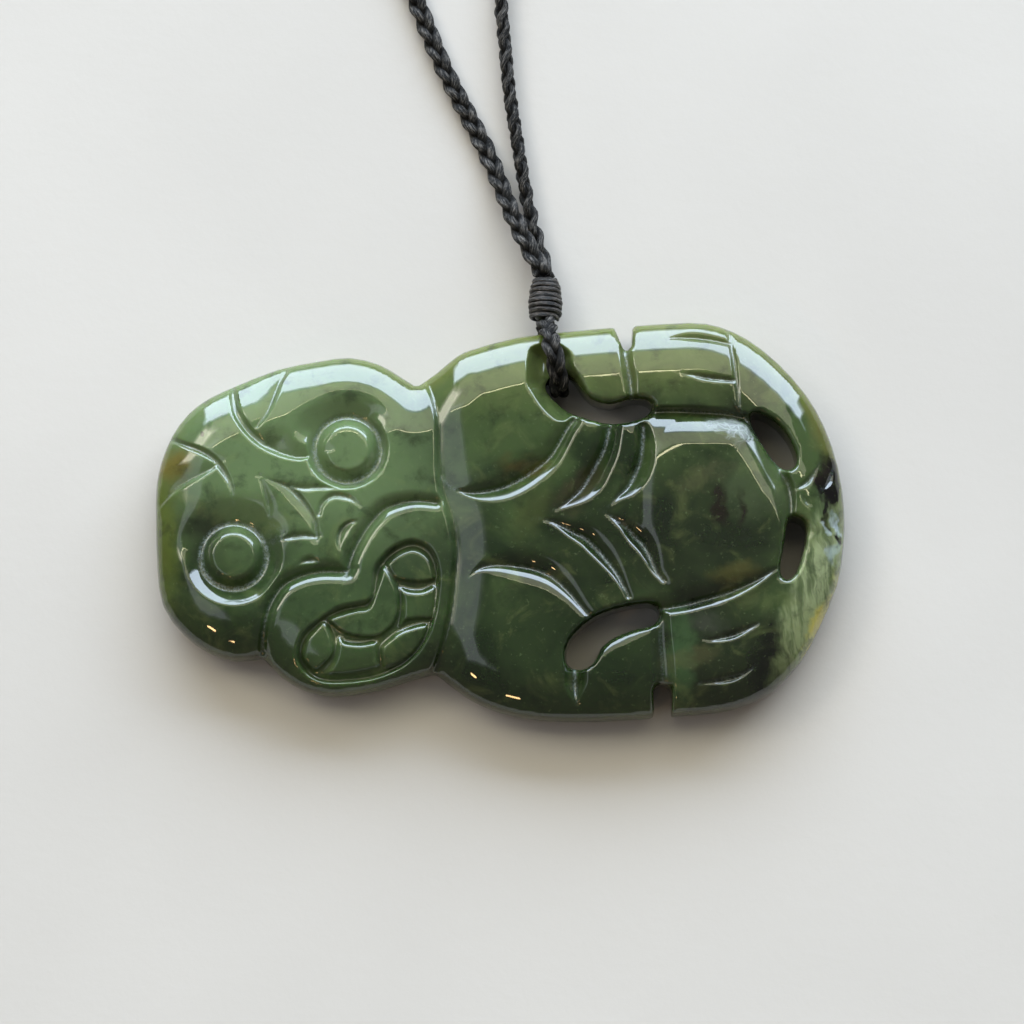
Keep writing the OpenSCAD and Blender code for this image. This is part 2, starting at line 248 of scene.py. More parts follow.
FIBRES = (2.9, 4.0, 0.72)
FIBRE_STRETCH = 1.6
FIBRE_CUT = 0.00024
PLY_CUT = 0.00012
DUST = (900.0, 3.0, 0.6)
DUST_SHARE = 0.4


def waxed_cord(name, dark, pale, fibre_turn, roughness, specular):
    """Fine fibres that run along each strand with a slow twist, waxed and a little dusty, with painted
    shade in the creases between strands and turns.
    """
    material, tree, surface = new_material(name)
    parts = split(tree, add_node(tree, "UVMap", {}, uv_map="UVMap").outputs["UV"])
    along = parts["X"]
    turned = plus(tree, parts["Y"], times(tree, along, fibre_turn))
    angle = times(tree, turned, TURN)
    lay = add_node(tree, "CombineXYZ", {"X": times(tree, along, FIBRE_STRETCH),
                                        "Y": maths(tree, "SINE", angle),
                                        "Z": maths(tree, "COSINE", angle)}).outputs["Vector"]
    fibres = noise_of(tree, lay, *FIBRES)["Fac"]
    dust = noise_of(tree, own_place(tree), *DUST)["Fac"]
    ply = maths(tree, "SINE", times(tree, turned, 2 * TURN))
    shade = plus(tree, spread(tree, fibres, 0.46, 0.66),
                 times(tree, spread(tree, dust, 0.52, 0.74), DUST_SHARE), clamp=True)
    # Painted shade: darker where the surface lies deep in the plait or winding, in the creases between
    # strands and turns, and lighter on their outer crowns.
    shade = times(tree, shade, spread(tree, attribute(tree, "outer"), 0.3, 0.9, 0.05, 1.0))
    deep = bump(tree, ply, 0.6, PLY_CUT)
    set_inputs(tree, surface, {
        "Base Color": blend(tree, shade, dark, pale),
        "Roughness": spread(tree, fibres, 0.3, 0.7, roughness + 0.16, roughness - 0.1),
        "Specular IOR Level": specular,
        "Normal": bump(tree, fibres, 1.0, FIBRE_CUT, Normal=deep)})
    return material


cord_finish = waxed_cord("plaited_cord", colour(6, 6, 6), colour(108, 104, 100),
                         fibre_turn=0.35, roughness=0.52, specular=0.24)
thread_finish = waxed_cord("whipping_thread", colour(5, 5, 5), colour(118, 110, 104),
                           fibre_turn=0.12, roughness=0.34, specular=0.5)

# Plait and its strands, in millimetres. Each strand is laid of two plies.
PLAIT_W = 2.1
PLAIT_T = 1.5
STRAND_W = 1.02
STRAND_T = 0.78
PLAIT_PERIOD = 6.6
STRANDS = 3
PLAIT_STEP = PLAIT_PERIOD / 20
STRAND_SIDES = 12
PLY_LENGTH = 2.6
PLY_RELIEF = 0.09
TWIST_LENGTH = 3.0
CORD_NUMBER = {"hanging_loop": 0, "cord_left": 1, "cord_right": 2}

# How unevenly it is plaited by hand: rows of size, length and start of the strands' wander, then
# how much the plait's width changes and over what length
WANDER = [(0.22, 3.7, 1), (0.12, 1.9, 2)]
SLACK = 0.05
SLACK_LENGTH = 2.3

# Farthest apart that the two rows of points along a strand's seam may lie
SEAM = 0.002


def add_strand(bm, line, side, up, width, thickness, sides, how_far_out):
    """One strand: a grid rolled up along its line, closed at its seam and its ends."""
    uv_map = bm.loops.layers.uv["UVMap"]
    outer = bm.verts.layers.float["outer"]
    rings = len(line)
    length = travelled(line)
    grid = bmesh.ops.create_grid(bm, x_segments=rings - 1, y_segments=sides, size=1, calc_uvs=True)
    verts = grid["verts"]
    for face in {f for v in verts for f in v.link_faces}:
        for corner in face.loops:
            u, v = corner[uv_map].uv
            corner[uv_map].uv = (length[round(u * (rings - 1))] / TWIST_LENGTH, v)
    for v in verts:
        i = round((v.co.x + 1) / 2 * (rings - 1))
        turn = (v.co.y + 1) * pi
        plies = 1 - PLY_RELIEF * (1 - cos(2 * turn + TURN * length[i] / PLY_LENGTH))
        out = side[i] * cos(turn) * width + up[i] * sin(turn) * thickness
        place = line[i] + plies * out / 2
        v.co = place
        # How far out this point lies, kept for the painted shade in the creases.
        v[outer] = how_far_out(i, place)
    bmesh.ops.remove_doubles(bm, verts=verts, dist=SEAM)
    open_edges = [e for e in bm.edges if e.is_boundary]
    bmesh.ops.holes_fill(bm, edges=open_edges, sides=sides + 1)


def new_cord_mesh():
    bm = bmesh.new()
    bm.loops.layers.uv.new("UVMap")
    bm.verts.layers.float.new("outer")
    return bm


def plait(name, route, across):
    """Three waxed strands plaited flat along the route. Across is the way over the flat side."""
    bm = new_cord_mesh()
    places, rows = route
    way = unit(np.gradient(rows, axis=0))
    over = np.cross(across, way)
    number = CORD_NUMBER[name]
    wander = sum(size * np.sin(places / length + start * number) for size, length, start in WANDER)
    slack = 1 + SLACK * np.sin(places / SLACK_LENGTH + number)
    swing = (PLAIT_W - STRAND_W) / 2 * slack[:, None]
    lift = (PLAIT_T - STRAND_T) / 2

    # How far out in the plait, 1 at its outside, used for the painted shade in its creases.
    def how_far_out(i, place):
        off = place - rows[i]
        return (off @ across[i] / PLAIT_W * 2) ** 2 + (off @ over[i] / PLAIT_T * 2) ** 2

    for k in range(STRANDS):
        turn = (TURN * (places / PLAIT_PERIOD + k / STRANDS) + wander)[:, None]
        line = rows + across * swing * np.sin(turn) + over * lift * np.sin(2 * turn)
        line_way = unit(np.gradient(line, axis=0))
        side = unit(np.cross(line_way, over))
        up = np.cross(side, line_way)
        add_strand(bm, line, side, up, STRAND_W, STRAND_T, STRAND_SIDES, how_far_out)
    new_piece(name + "_plait", bm, cord_finish, "plaited_cord", name)


# Near end of the whipping's axis and its lean, and the middle of the winding behind the neck
WHIPPING_LOW = np.array([4.7, 20.55, 3.0])
WHIPPING_LEAN = radians(6)
WHIPPING_WAY = np.array([0, cos(WHIPPING_LEAN), -sin(WHIPPING_LEAN)])
JOIN_AT = np.array([-9.5, 308.0, 1.4])

# Route of the loop round the forearm, over the front and back underneath, [x, y, z]
LOOP_ROUTE = [
    [4.7, 20.54, 3.85], [4.8, 20.05, 4.2], [4.9, 19.6, 4.85], [5, 19.2, 5.55],
    [5.1, 18.6, 6.3], [5.3, 17.6, 7], [5.6, 16.5, 7], [5.8, 15.4, 6.5],
    [6, 14.4, 5.7], [6.1, 13.65, 4.7], [6.15, 13.4, 3.6], [6.15, 13.45, 2.5],
    [6.1, 13.7, 1.6], [6, 14.3, 0.95], [5.8, 15.3, 0.8], [5.5, 17, 0.8],
    [5.1, 18.6, 0.8], [4.9, 19.3, 1], [4.8, 19.75, 1.4], [4.7, 20.34, 2.15]]

# Routes of the two legs, from the whipping round to the join, [x, y, z, turn on edge]
LEFT_ROUTE = [
    [4.5, 25.45, 3.3, 0], [1.6, 31.2, 2.4, 0], [-1.3, 38.6, 0.8, 0], [-6.1, 48.3, 0.8, 0],
    [-11.6, 62, 0.8, 0], [-25, 92, 0.8, 0], [-41, 122, 0.8, 0], [-56, 152, 0.8, 0],
    [-67, 183, 0.8, 0], [-71.5, 215, 0.8, 0], [-70, 246, 0.8, 0], [-60, 274, 0.8, 0],
    [-42, 295, 0.8, 0], [-28, 303, 1, 0], [-12.6, 308, 1.4, 0]]
RIGHT_ROUTE = [
    [4.8, 25.3, 1.7, 0], [3.3, 31.2, 1.1, 60], [2, 38.6, 1.1, 90], [0.7, 48.3, 1.1, 90],
    [0.5, 62, 1.05, 60], [6, 92, 0.95, 20], [17, 122, 0.8, 0], [30, 152, 0.8, 0],
    [42, 183, 0.8, 0], [49, 215, 0.8, 0], [50, 246, 0.8, 0], [43, 274, 0.8, 0],
    [27, 295, 0.8, 0], [12, 303, 1, 0], [-6.4, 308, 1.4, 0]]


def leg(name, route, last_way):
    """One leg of the neck cord, with the plait turned on edge where its route says."""
    places, rows = even_steps(smooth_route(route, 24), PLAIT_STEP)
    way = directions(rows, WHIPPING_WAY, last_way)
    level = unit(np.cross(way, [0, 0, 1]))
    turn = np.radians(rows[:, 3:])
    across = level * np.cos(turn) + np.cross(level, way) * np.sin(turn)
    plait(name, (places, rows[:, :3]), across)


def hanging_loop():
    places, rows = even_steps(smooth_route(LOOP_ROUTE, 12), PLAIT_STEP)
    way = directions(rows, -WHIPPING_WAY, WHIPPING_WAY)
    ahead = np.array([1.0, 0, 0])
    across = unit(ahead - way * way[:, :1])
    plait("hanging_loop", (places, rows), across)


# Windings. Shape: rows of radius and share of the length. The turns lie a little aslant, are not
# all equally tight, are sunk in a little, and are a little wider than the thread and flatter.
STEPS_TO_A_TURN = 44
THREAD_SIDES = 8
CORE_SIDES = 24
CORE_INSET = 0.12
CORE_STEP = 0.05
ASLANT = 0.07
TIGHTNESS = 0.025
TIGHTNESS_WAVES = 2.4
SUNK = 0.02
THREAD_W_SHARE = 1.04
THREAD_T_SHARE = 0.86


def add_core(bm, shape, thread, length):
    """The cord inside a winding, upright from the middle of its start. Gives its points."""
    verts = bmesh.ops.create_circle(bm, cap_ends=True, segments=CORE_SIDES,
                                    radius=shape[0][0] - thread)["verts"]
    bmesh.ops.translate(bm, vec=(0, 0, CORE_INSET), verts=verts)
    ring_edges = list(dict.fromkeys(e for v in verts for e in v.link_edges))
    level = CORE_INSET
    for radius, share in shape[1:]:
        grown = bmesh.ops.extrude_edge_only(bm, edges=ring_edges)["geom"]
        ring = points_in(grown)
        ring_edges = [g for g in grown if isinstance(g, bmesh.types.BMEdge)
                      and all(v in ring for v in g.verts)]
        level = min(max(share * length, level + CORE_STEP), length - CORE_INSET)
        for v in ring:
            v.co = Vector((v.co.x, v.co.y, 0)).normalized() * (radius - thread)
            v.co.z = level
        verts += ring
    bmesh.ops.holes_fill(bm, edges=ring_edges, sides=CORE_SIDES + 1)
    return verts


def winding(name, node, start, way, length, shape, thread, seed):
    """Thread wound side by side round the cord, on a core that shows between no two turns."""
    bm = new_cord_mesh()
    side = unit(np.cross(way, [0.0, 0, 1.0]))
    up = np.cross(side, way)
    turns = (length - thread) / thread
    steps = int(turns * STEPS_TO_A_TURN)
    t = np.linspace(0, 1, steps)
    along = thread / 2 + t * (length - thread)
    along = along + ASLANT * np.sin(TURN * turns * t + seed) * np.sin(pi * t)
    shares = np.array(shape)
    radius = np.interp(along / length, shares[:, 1], shares[:, 0]) - thread / 2
    radius = radius * (1 + TIGHTNESS * np.sin(turns * TIGHTNESS_WAVES * t + seed)) - SUNK
    angle = TURN * turns * t
    out = side * np.cos(angle)[:, None] + up * np.sin(angle)[:, None]
    line = start + way * along[:, None] + out * radius[:, None]

    # How far out on the thread, used for the painted shade between the turns.
    def how_far_out(i, place):
        return (place - line[i]) @ out[i] / thread + 0.5

    sides = np.tile(way, (steps, 1))
    add_strand(bm, line, sides, out, thread * THREAD_W_SHARE, thread * THREAD_T_SHARE, THREAD_SIDES,
               how_far_out)
    # The core keeps 0 for how far out, so it takes the darkest painted shade.
    core = add_core(bm, shape, thread, length)
    to_axis = Matrix((side, up, way)).transposed().to_4x4()
    bmesh.ops.transform(bm, verts=core, matrix=Matrix.Translation(start) @ to_axis)
    new_piece(name, bm, thread_finish, "whipping_thread", node)


WHIPPING_LENGTH = 4.75
WHIPPING_THREAD = 0.53
WHIPPING_SHAPE = [[1.3, 0], [1.7, 0.1], [1.84, 0.24], [1.84, 0.45], [1.66, 0.75], [1.45, 0.9],
                  [1.15, 1]]
JOIN_LENGTH = 6.0
JOIN_THREAD = 0.5
JOIN_SHAPE = [[1.25, 0], [1.35, 0.1], [1.35, 0.9], [1.25, 1]]

leg("cord_left", LEFT_ROUTE, [1, 0, 0])
leg("cord_right", RIGHT_ROUTE, [-1, 0, 0])
hanging_loop()
winding("whipping_thread", "whipping", WHIPPING_LOW, WHIPPING_WAY, WHIPPING_LENGTH,
        WHIPPING_SHAPE, WHIPPING_THREAD, seed=0.6)
winding("join_thread", "join_whipping", JOIN_AT - np.array([JOIN_LENGTH / 2, 0, 0]),
        np.array([1.0, 0, 0]), JOIN_LENGTH, JOIN_SHAPE, JOIN_THREAD, seed=2.0)


# Floor

FLOOR_HALF = 2.0
FLOOR_CLOUDS = (9.0, 4.0, 0.6)
FLOOR_GRAIN = (700.0, 4.0, 0.6)


def pale_floor():
    material, tree, surface = new_material("floor")
    place = own_place(tree)
    clouds = spread(tree, noise_of(tree, place, *FLOOR_CLOUDS)["Fac"], 0.3, 0.7)
    grain = noise_of(tree, place, *FLOOR_GRAIN)["Fac"]
    set_inputs(tree, surface, {
        "Base Color": blend(tree, clouds, colour(184, 179, 174), colour(192, 187, 182)),
        "Roughness": 0.7,
        "Normal": bump(tree, grain, 0.12, 0.0002)})
    return material


def add_floor():
    bm = bmesh.new()
    bmesh.ops.create_grid(bm, x_segments=1, y_segments=1, size=FLOOR_HALF)
    floor = mesh_object("floor", bm)
    floor.data.materials.append(pale_floor())


add_floor()


# Light: a wide cool window low behind the cord, a smaller one beside the head, a pale wall over
# the first with a bright edge, a dim side wall, and small warm lamps on the near side

# A soft panel is several, each a little farther away and larger, with these shares of its light
FADE_SHARES = (0.55, 0.2, 0.15, 0.1)
FADE_BACK = 0.01
FADE_WIDER = 0.07
ROOM_LIGHT = 0.16


def panel(name, azimuth, elevation, distance, width, height, brightness, tint, round_one=False):
    """A flat light that faces the figure. Azimuth 0 is over the cord. Brightness is radiance."""
    data = bpy.data.lights.new(name, "AREA")
    data.shape = "ELLIPSE" if round_one else "RECTANGLE"
    data.size, data.size_y = width, height
    area = width * height * (pi / 4 if round_one else 1)
    data.energy = brightness * pi * area
    data.color = tint
    light = new_object(name, data)
    a, e = radians(azimuth), radians(elevation)
    back = Vector((sin(a) * cos(e), cos(a) * cos(e), sin(e)))
    light.location = back * distance
    light.rotation_euler = back.to_track_quat("Z", "Y").to_euler()


def soft_panel(name, azimuth, elevation, distance, width, height, brightness, tint):
    """A panel whose light fades towards its edge."""
    for k, share in enumerate(FADE_SHARES):
        panel(name, azimuth, elevation, distance + FADE_BACK * k, width + FADE_WIDER * k,
              height + FADE_WIDER * k, brightness * share, tint)


def add_light():
    soft_panel("window", 8, 25, 1.2, 2.1, 0.66, 11.0, (0.70, 0.83, 1.0))
    soft_panel("left_window", -58, 44, 1.25, 0.5, 0.26, 7.0, (1.0, 0.95, 0.80))
    panel("wall", 6, 58.9, 1.35, 1.75, 0.71, 1.7, (1.0, 0.97, 0.74))
    panel("wall_edge", 6, 74.9, 1.35, 1.75, 0.018, 12.0, (1.0, 0.94, 0.60))
    soft_panel("side_wall", -92, 63, 1.3, 1.0, 0.46, 1.0, (0.85, 0.93, 1.0))
    panel("lamp_left", 220, 38, 1.2, 0.10, 0.06, 30, (1.0, 0.62, 0.28), True)
    panel("lamp_right", 195, 33, 1.2, 0.08, 0.05, 26, (1.0, 0.62, 0.28), True)
    world = bpy.data.worlds.new("room")
    world.use_nodes = True
    background = world.node_tree.nodes["Background"]
    background.inputs["Color"].default_value = (1.0, 0.96, 0.90, 1)
    background.inputs["Strength"].default_value = ROOM_LIGHT
    bpy.context.scene.world = world
    bpy.context.scene.view_settings.view_transform = "Standard"


add_light()


# Greenstone figure. All of its tables are in millimetres on its plan, [x, y].

BELLY_RISE = 0.4
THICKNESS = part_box("tiki")[1].z / MM - BELLY_RISE
UPRIGHT_SHARE = 0.38

# Height at which the plan is read, and the slab that is shaped from it. Its front, from FRONT_FROM
# of its height up, has smaller faces where the depth changes by more than STEEP_FROM.
SECTION_AT = 2.5
SLAB = 3.6
VOXEL = 0.3
FRONT_FROM = 0.75
STEEP_FROM = 0.06

# Front: how far below the thickness it starts, the round of the rim and of the windows' edges,
# and the slow rise inwards
EDGE_DROP = 0.32
ROUND_REACH = 5.3
ROUND_RADIUS = 7.9
WINDOW_REACH = 1.1
WINDOW_ROUND = 1.0
CROWN = 0.62
CROWN_REACH = 6.0

# How corners are drawn in: reach, amount in front and amount at the back. Then how wide the
# painted yellow glow along the lit rim is.
RIM_CORNERS = (2.6, 0.42, 0.9)
WINDOW_CORNERS = (1.2, 0.12, 0.3)
PAINTED_RIM_GLOW_WIDTH = 1.8

# Outline: step between its samples, how alike in direction two edges of one wall are, and how
# near to a wall its own direction holds
SAMPLE_STEP = 0.08
SAME_WALL = 0.8
AT_WALL = 0.35

# Boxes round the notches, [x from, x to, y from, y to]. Their walls count as a window's and not
# as the rounded rim. Farther than RIM_FROM from the middle line only the side walls do.
NOTCH_WALLS = [[10.6, 14.6, 15.0, 21.0], [14.9, 18.0, -21.0, -15.0]]
RIM_FROM = 19.2
SIDE_WALL = 0.7

# Cuts of the carver's wheel and file. Columns: width on the left and on the right of the
# route, how those two walls fall (above 1 rolled over, 1 straight, below 1 hollow), depth,
# share of the depth at the two ends, how raw the bottom is, route along the bottom.
CUTS = {
    "neck": (4.6, 0.7, 2, 1.5, 0.85, 0.6, 0.8, 0,
     [(-7.7, 14.9), (-7.1, 13.5), (-6.5, 11.7), (-6.1, 9.4), (-6, 6.8), (-5.9, 4.8), (-5.6, 2.8), (-5, 1),
      (-4.5, -1), (-4.3, -3.5), (-4.5, -6.1), (-4.8, -9), (-5.4, -12), (-6.1, -14.3), (-6.7, -15.7)]),
    "upper arm": (2.4, 1.45, 2.2, 1.45, 1.2, 0.35, 0.7, 0.7,
     [(-5.8, 4), (-4.9, 3.1), (-4, 2.7), (-2.4, 2.5), (-0.1, 2.9), (1.6, 3.6), (3.4, 4.7), (5, 6),
      (5.9, 7.3), (6.8, 8.9), (7.5, 9.9)]),
    "first rib": (1.9, 1.8, 2.2, 1.25, 1.5, 0.05, 0.8, 1,
     [(5.4, 0.6), (6.7, 1.4), (8.1, 2.7), (9.1, 4.1), (9.8, 5.4), (10.4, 6.5), (10.8, 7.6), (11.1, 9.1)]),
    "second rib": (1.6, 1.5, 2.2, 1.25, 1.3, 0.05, 0.8, 1,
     [(11, 1), (12, 2.1), (13, 3.1), (13.7, 4.4), (14.2, 5.6), (14.4, 6.8), (14.5, 8.2), (14.5, 9.3)]),
    "third rib": (2, 0.85, 2.2, 1.15, 1, 0.05, 0.3, 1,
     [(3.5, -0.2), (5.4, -0.5), (7.2, -1.4), (8.6, -2.1), (9.4, -2.8), (10.5, -4), (11.7, -5.6),
      (12.6, -7.2), (13, -8.1)]),
    "fourth rib": (1.8, 0.85, 2.2, 1.15, 0.95, 0.05, 0.3, 1,
     [(10.2, 0.7), (12.4, -0.7), (13.6, -1.9), (14.5, -2.9), (15.2, -4.2), (15.7, -5.4), (16.5, -6.4)]),
    "lower arm": (2.4, 2.3, 2.2, 3.2, 1.05, 0.35, 0.4, 0.4,
     [(-3.2, -6.3), (-2.5, -5.5), (-1.5, -5), (-0.1, -4.8), (1.6, -4.9), (3.4, -5.2), (4.9, -5.8),
      (6, -6.6), (7.2, -7.8), (8.2, -9), (8.9, -9.8)]),
    "over the belly": (0.5, 3.4, 1.2, 2, 1.3, 0.9, 0.9, 0.2,
     [(15, 10.8), (16.5, 10.9), (18.4, 10.9), (20.4, 10.8), (22, 10.7), (23.5, 10.5), (24.8, 10.2)]),
    "beside the belly": (0.6, 3, 1.2, 2, 1.2, 0.95, 0.3, 0.4,
     [(24.8, 10.2), (26.2, 8.4), (27.3, 6.6), (28.2, 5), (29.1, 3.4), (29.4, 1.6), (29.3, -0.6),
      (29, -2.6)]),
    "under the belly": (2.4, 0.9, 2.2, 1.5, 0.95, 0.9, 0.15, 0.4,
     [(15.7, -9.3), (17.2, -9.1), (18.9, -8.8), (20.7, -8.3), (22.5, -7.8), (24.3, -7.1), (26, -6.3),
      (27.7, -5.3), (28.8, -4.7)]),
    "edge of the hip window": (1.5, 0.6, 1.5, 1.3, 0.8, 0.4, 0.3, 0,
     [(16.1, -9.9), (15.2, -10.7), (13.9, -11), (12.6, -11.3), (11.3, -12), (10.1, -13.4), (9.3, -14.7)]),
    "elbow": (0.8, 0.7, 1.5, 1.3, 0.9, 1, 0.8, 0.6,
     [(12.7, 17.3), (12.9, 15.7), (13.2, 14.1), (13.4, 12)]),
    "hip": (1.15, 1.15, 0.5, 0.5, 0.6, 0.8, 1, 0.2,
     [(16.2, -9.9), (16.2, -12.5), (16.4, -14.9), (16.5, -17.1)]),
    "wrist": (1.25, 1.25, 1.3, 1.3, 1.5, 1, 0.05, 0.8,
     [(7.5, -13.7), (7.6, -15.7), (7.6, -16.9), (7.8, -19)]),
    "ankle": (0.35, 0.3, 0.5, 0.5, 0.35, 0.7, 0.4, 0.3,
     [(23.2, 19.7), (23.4, 18), (23.7, 16.3), (23.9, 14.3), (24.1, 12.4), (24.1, 11.3)]),
    "first upper toe": (0.8, 0.4, 1.4, 1.2, 0.5, 0.05, 0.8, 0.1,
     [(16.3, 18.1), (17.8, 18.4), (19.4, 18.4), (21.3, 18.2), (23.3, 17.8)]),
    "second upper toe": (0.6, 0.35, 1.8, 1.2, 0.4, 0.05, 0.8, 0.3,
     [(17.8, 14.7), (19.4, 14.5), (21, 14.2), (22.6, 14), (23.9, 13.9)]),
    "first lower toe": (0.8, 0.4, 1.8, 1.2, 0.5, 0.3, 0.4, 0.4,
     [(20.4, -12.3), (21.3, -12.4), (22.3, -12.2), (23.5, -11.9), (24.7, -11.4), (25.9, -10.8)]),
    "second lower toe": (0.8, 0.4, 1.8, 1.2, 0.5, 0.3, 0.4, 0.4,
     [(20, -16.7), (21.3, -16.6), (22.6, -16.4), (23.8, -16.1), (24.8, -15.6), (25.7, -14.9)]),
    "first foot line": (0.5, 0.35, 1.5, 1.2, 0.4, 0.1, 0.2, 0.4,
     [(29.3, 2.7), (30.1, 3), (30.9, 3.5), (31.5, 4.2), (32.2, 5.4)]),
    "second foot line": (0.35, 0.3, 1.5, 1.2, 0.3, 0.2, 0.2, 0.4,
     [(32.3, 2.9), (32.9, 3.2), (33.4, 4), (33.7, 5.3)]),
    "third foot line": (0.25, 0.25, 1.5, 1.3, 0.2, 0.3, 0.1, 0.2,
     [(30.3, 2.5), (30.9, 1.7), (31.5, 0.9)]),
    "upper brow": (0.6, 0.55, 0.45, 0.45, 0.55, 0.7, 0.7, 0.3,
     [(-27.1, 13.7), (-26.8, 12), (-26.4, 10.5), (-25.5, 9.1), (-24.3, 7.9), (-22.9, 7), (-21.5, 6.4),
      (-20, 6.1)]),
    "lower brow": (0.4, 0.4, 0.5, 0.6, 0.45, 0.7, 0.2, 0.4,
     [(-33.2, 8.2), (-31.5, 7.4), (-29.9, 6.7), (-28.6, 5.8), (-27.6, 4.5), (-27, 3.2), (-26.7, 1.3)]),
    "upper lobe": (0.45, 2.6, 1.3, 1.9, 0.5, 0.3, 0.5, 0.3,
     [(-21, 15.9), (-22.1, 14), (-22.8, 12.2), (-23.4, 10.7), (-24.4, 9.2)]),
    "lower lobe": (2.6, 0.45, 1.9, 1.3, 0.5, 0.3, 0.7, 0.3,
     [(-34.3, 1.2), (-33.4, 2.2), (-32.3, 3.2), (-31, 3.9), (-29.9, 4.4), (-28.7, 5.1)]),
    "hollow over the brow": (3.4, 0.3, 1.7, 1, 0.7, 0.2, 1, 0,
     [(-25.6, 9.2), (-24.3, 7.9), (-22.9, 7), (-21.5, 6.4), (-20, 6.1), (-18.4, 6.4)]),
    "ridge of the nose": (0.35, 1.3, 1.2, 2.2, 0.38, 0.1, 0.8, 0.3,
     [(-24.3, 4.4), (-23, 3.8), (-21.4, 3.2), (-20.2, 2.2), (-19.2, 0.9), (-18.5, -0.4), (-18.3, -2)]),
    "side of the nose": (1, 0.3, 2.2, 1.2, 0.35, 0.7, 0.1, 0.2,
     [(-21.4, 3.2), (-19.7, 2.9), (-18.1, 3), (-16.5, 2.9), (-15, 2.8)]),
    "root of the nose": (1.2, 0.3, 2.2, 1.2, 0.35, 0.3, 0.6, 0.1,
     [(-24.2, 4.3), (-23.6, 2.7), (-23.2, 1), (-23, -0.6), (-23.1, -2.5)]),
    "base of the nose": (0.9, 0.35, 2, 1.3, 0.38, 0.3, 0.9, 0.4,
     [(-23.1, -2.7), (-22, -2.3), (-20.7, -2), (-19.5, -1.9), (-18.3, -2)]),
    "first corner": (0.35, 0.35, 1.3, 1.3, 0.3, 0.5, 0.8, 0.2,
     [(-22.8, -0.6), (-22.2, -1.1), (-21.5, -1.6)]),
    "second corner": (0.35, 0.35, 1.3, 1.3, 0.3, 0.8, 0.5, 0.2,
     [(-21.5, -1.6), (-22.3, -2), (-23.1, -2.5)]),
    "upper wing of the nose": (0.6, 0.4, 1.8, 1.3, 0.38, 0.8, 0.1, 0.3,
     [(-18.1, 0.3), (-17.8, 1.3), (-17.1, 2), (-16.2, 2.2), (-15, 1.9), (-14.1, 1.3), (-13.3, 0.8)]),
    "nostril": (1.5, 0.3, 2, 1.2, 0.55, 0.2, 0.2, 0.2,
     [(-13.6, -0.4), (-14.7, -0.4), (-15.6, -0.9), (-16.1, -1.8), (-16.1, -2.9), (-15.7, -3.7)]),
    "lower wing of the nose": (0.8, 0.4, 2, 1.2, 0.45, 0.2, 0.2, 0.2,
     [(-20.4, -5), (-19.6, -4.5), (-18.6, -4.4), (-17.5, -4.7)]),
    "left of the lips": (1.5, 1.4, 2, 2.2, 0.95, 0.8, 1, 0.3,
     [(-23.8, -13.7), (-23.7, -11.7), (-23.3, -9.7), (-22.6, -8.1), (-21.6, -6.8), (-19.9, -5.9),
      (-17.8, -5.45), (-15.5, -5.45), (-15, -5.1)]),
    "top of the lips": (1.5, 1.4, 2, 2.2, 0.95, 1, 0.7, 0.3,
     [(-15.2, -5.5), (-15, -4.5), (-14.5, -3.2), (-13.7, -1.7), (-12.8, -0.4), (-11.5, 0.9), (-9.9, 1.5),
      (-8.3, 1.7), (-6.3, 1.5)]),
}

# Eyes: a round boss in a drilled ring, in a dished socket. Rows of each table: distance from
# the middle, depth there. Columns of an eye: middle, table of its open side, table of its
# other side, bearing of that side in degrees and how far it reaches each way.
EYE_BOSS = [(0, 0.15), (1.9, 0.18), (2.15, 0.26), (2.45, 0.5), (2.95, 1.05), (3.15, 1.25),
            (3.5, 1.25)]
OPEN_SOCKET = EYE_BOSS + [(3.65, 1.08), (4.3, 0.78), (5.1, 0.42), (5.9, 0.12), (6.7, 0)]
STEEP_SOCKET = EYE_BOSS + [(3.7, 1), (4, 0.3), (4.15, 0.08), (4.35, 0), (6.7, 0)]
RAMP_SOCKET = EYE_BOSS + [(3.7, 1.1), (4.3, 0.62), (4.8, 0.22), (5.15, 0.03), (6.7, 0)]
EYES = [((-15.3, 7), OPEN_SOCKET, STEEP_SOCKET, 285, 95),
        ((-26.7, -3.85), OPEN_SOCKET, RAMP_SOCKET, 275, 85)]
EYE_SIDE_FADE = 40
RING_AT = 3.33
RING_HALF = 0.2
RING_RAWNESS = 0.6

# Share of a cut's length over which it comes up to its full depth, and half the width of its
# raw bottom
TAPER = 0.5
RAW_HALF = 0.22

# Mouth: its hollow, and what stands in it
MOUTH = [
    (-13.1, -8.2), (-12.8, -7), (-12.7, -5.4), (-12, -4.1), (-11, -3.1), (-9.8, -2.4), (-8.5, -2.2),
    (-7.2, -2.7), (-6.3, -3.9), (-5.9, -5.9), (-6.1, -8.5), (-6.5, -10.5), (-7.3, -12.5),
    (-8.5, -14.1), (-10.1, -15.3), (-12.4, -16.2), (-15, -16.6), (-17.6, -16.6), (-19.3, -15.8),
    (-20.3, -14.4), (-20.3, -12.7), (-19.5, -11.3), (-18.1, -10.2), (-16.3, -9), (-14.7, -8.6)]
TONGUE = [
    (-17.4, -9.9), (-15.7, -9.2), (-14.2, -8.8), (-13.2, -8.6), (-12.6, -7.1), (-12.1, -5.7),
    (-11.6, -4.5), (-10.7, -5.5), (-10.1, -6.9), (-10, -8.6), (-10.3, -10.2), (-11.2, -11.4),
    (-12.4, -12), (-14.2, -12), (-15.6, -11.6), (-16.7, -10.8)]
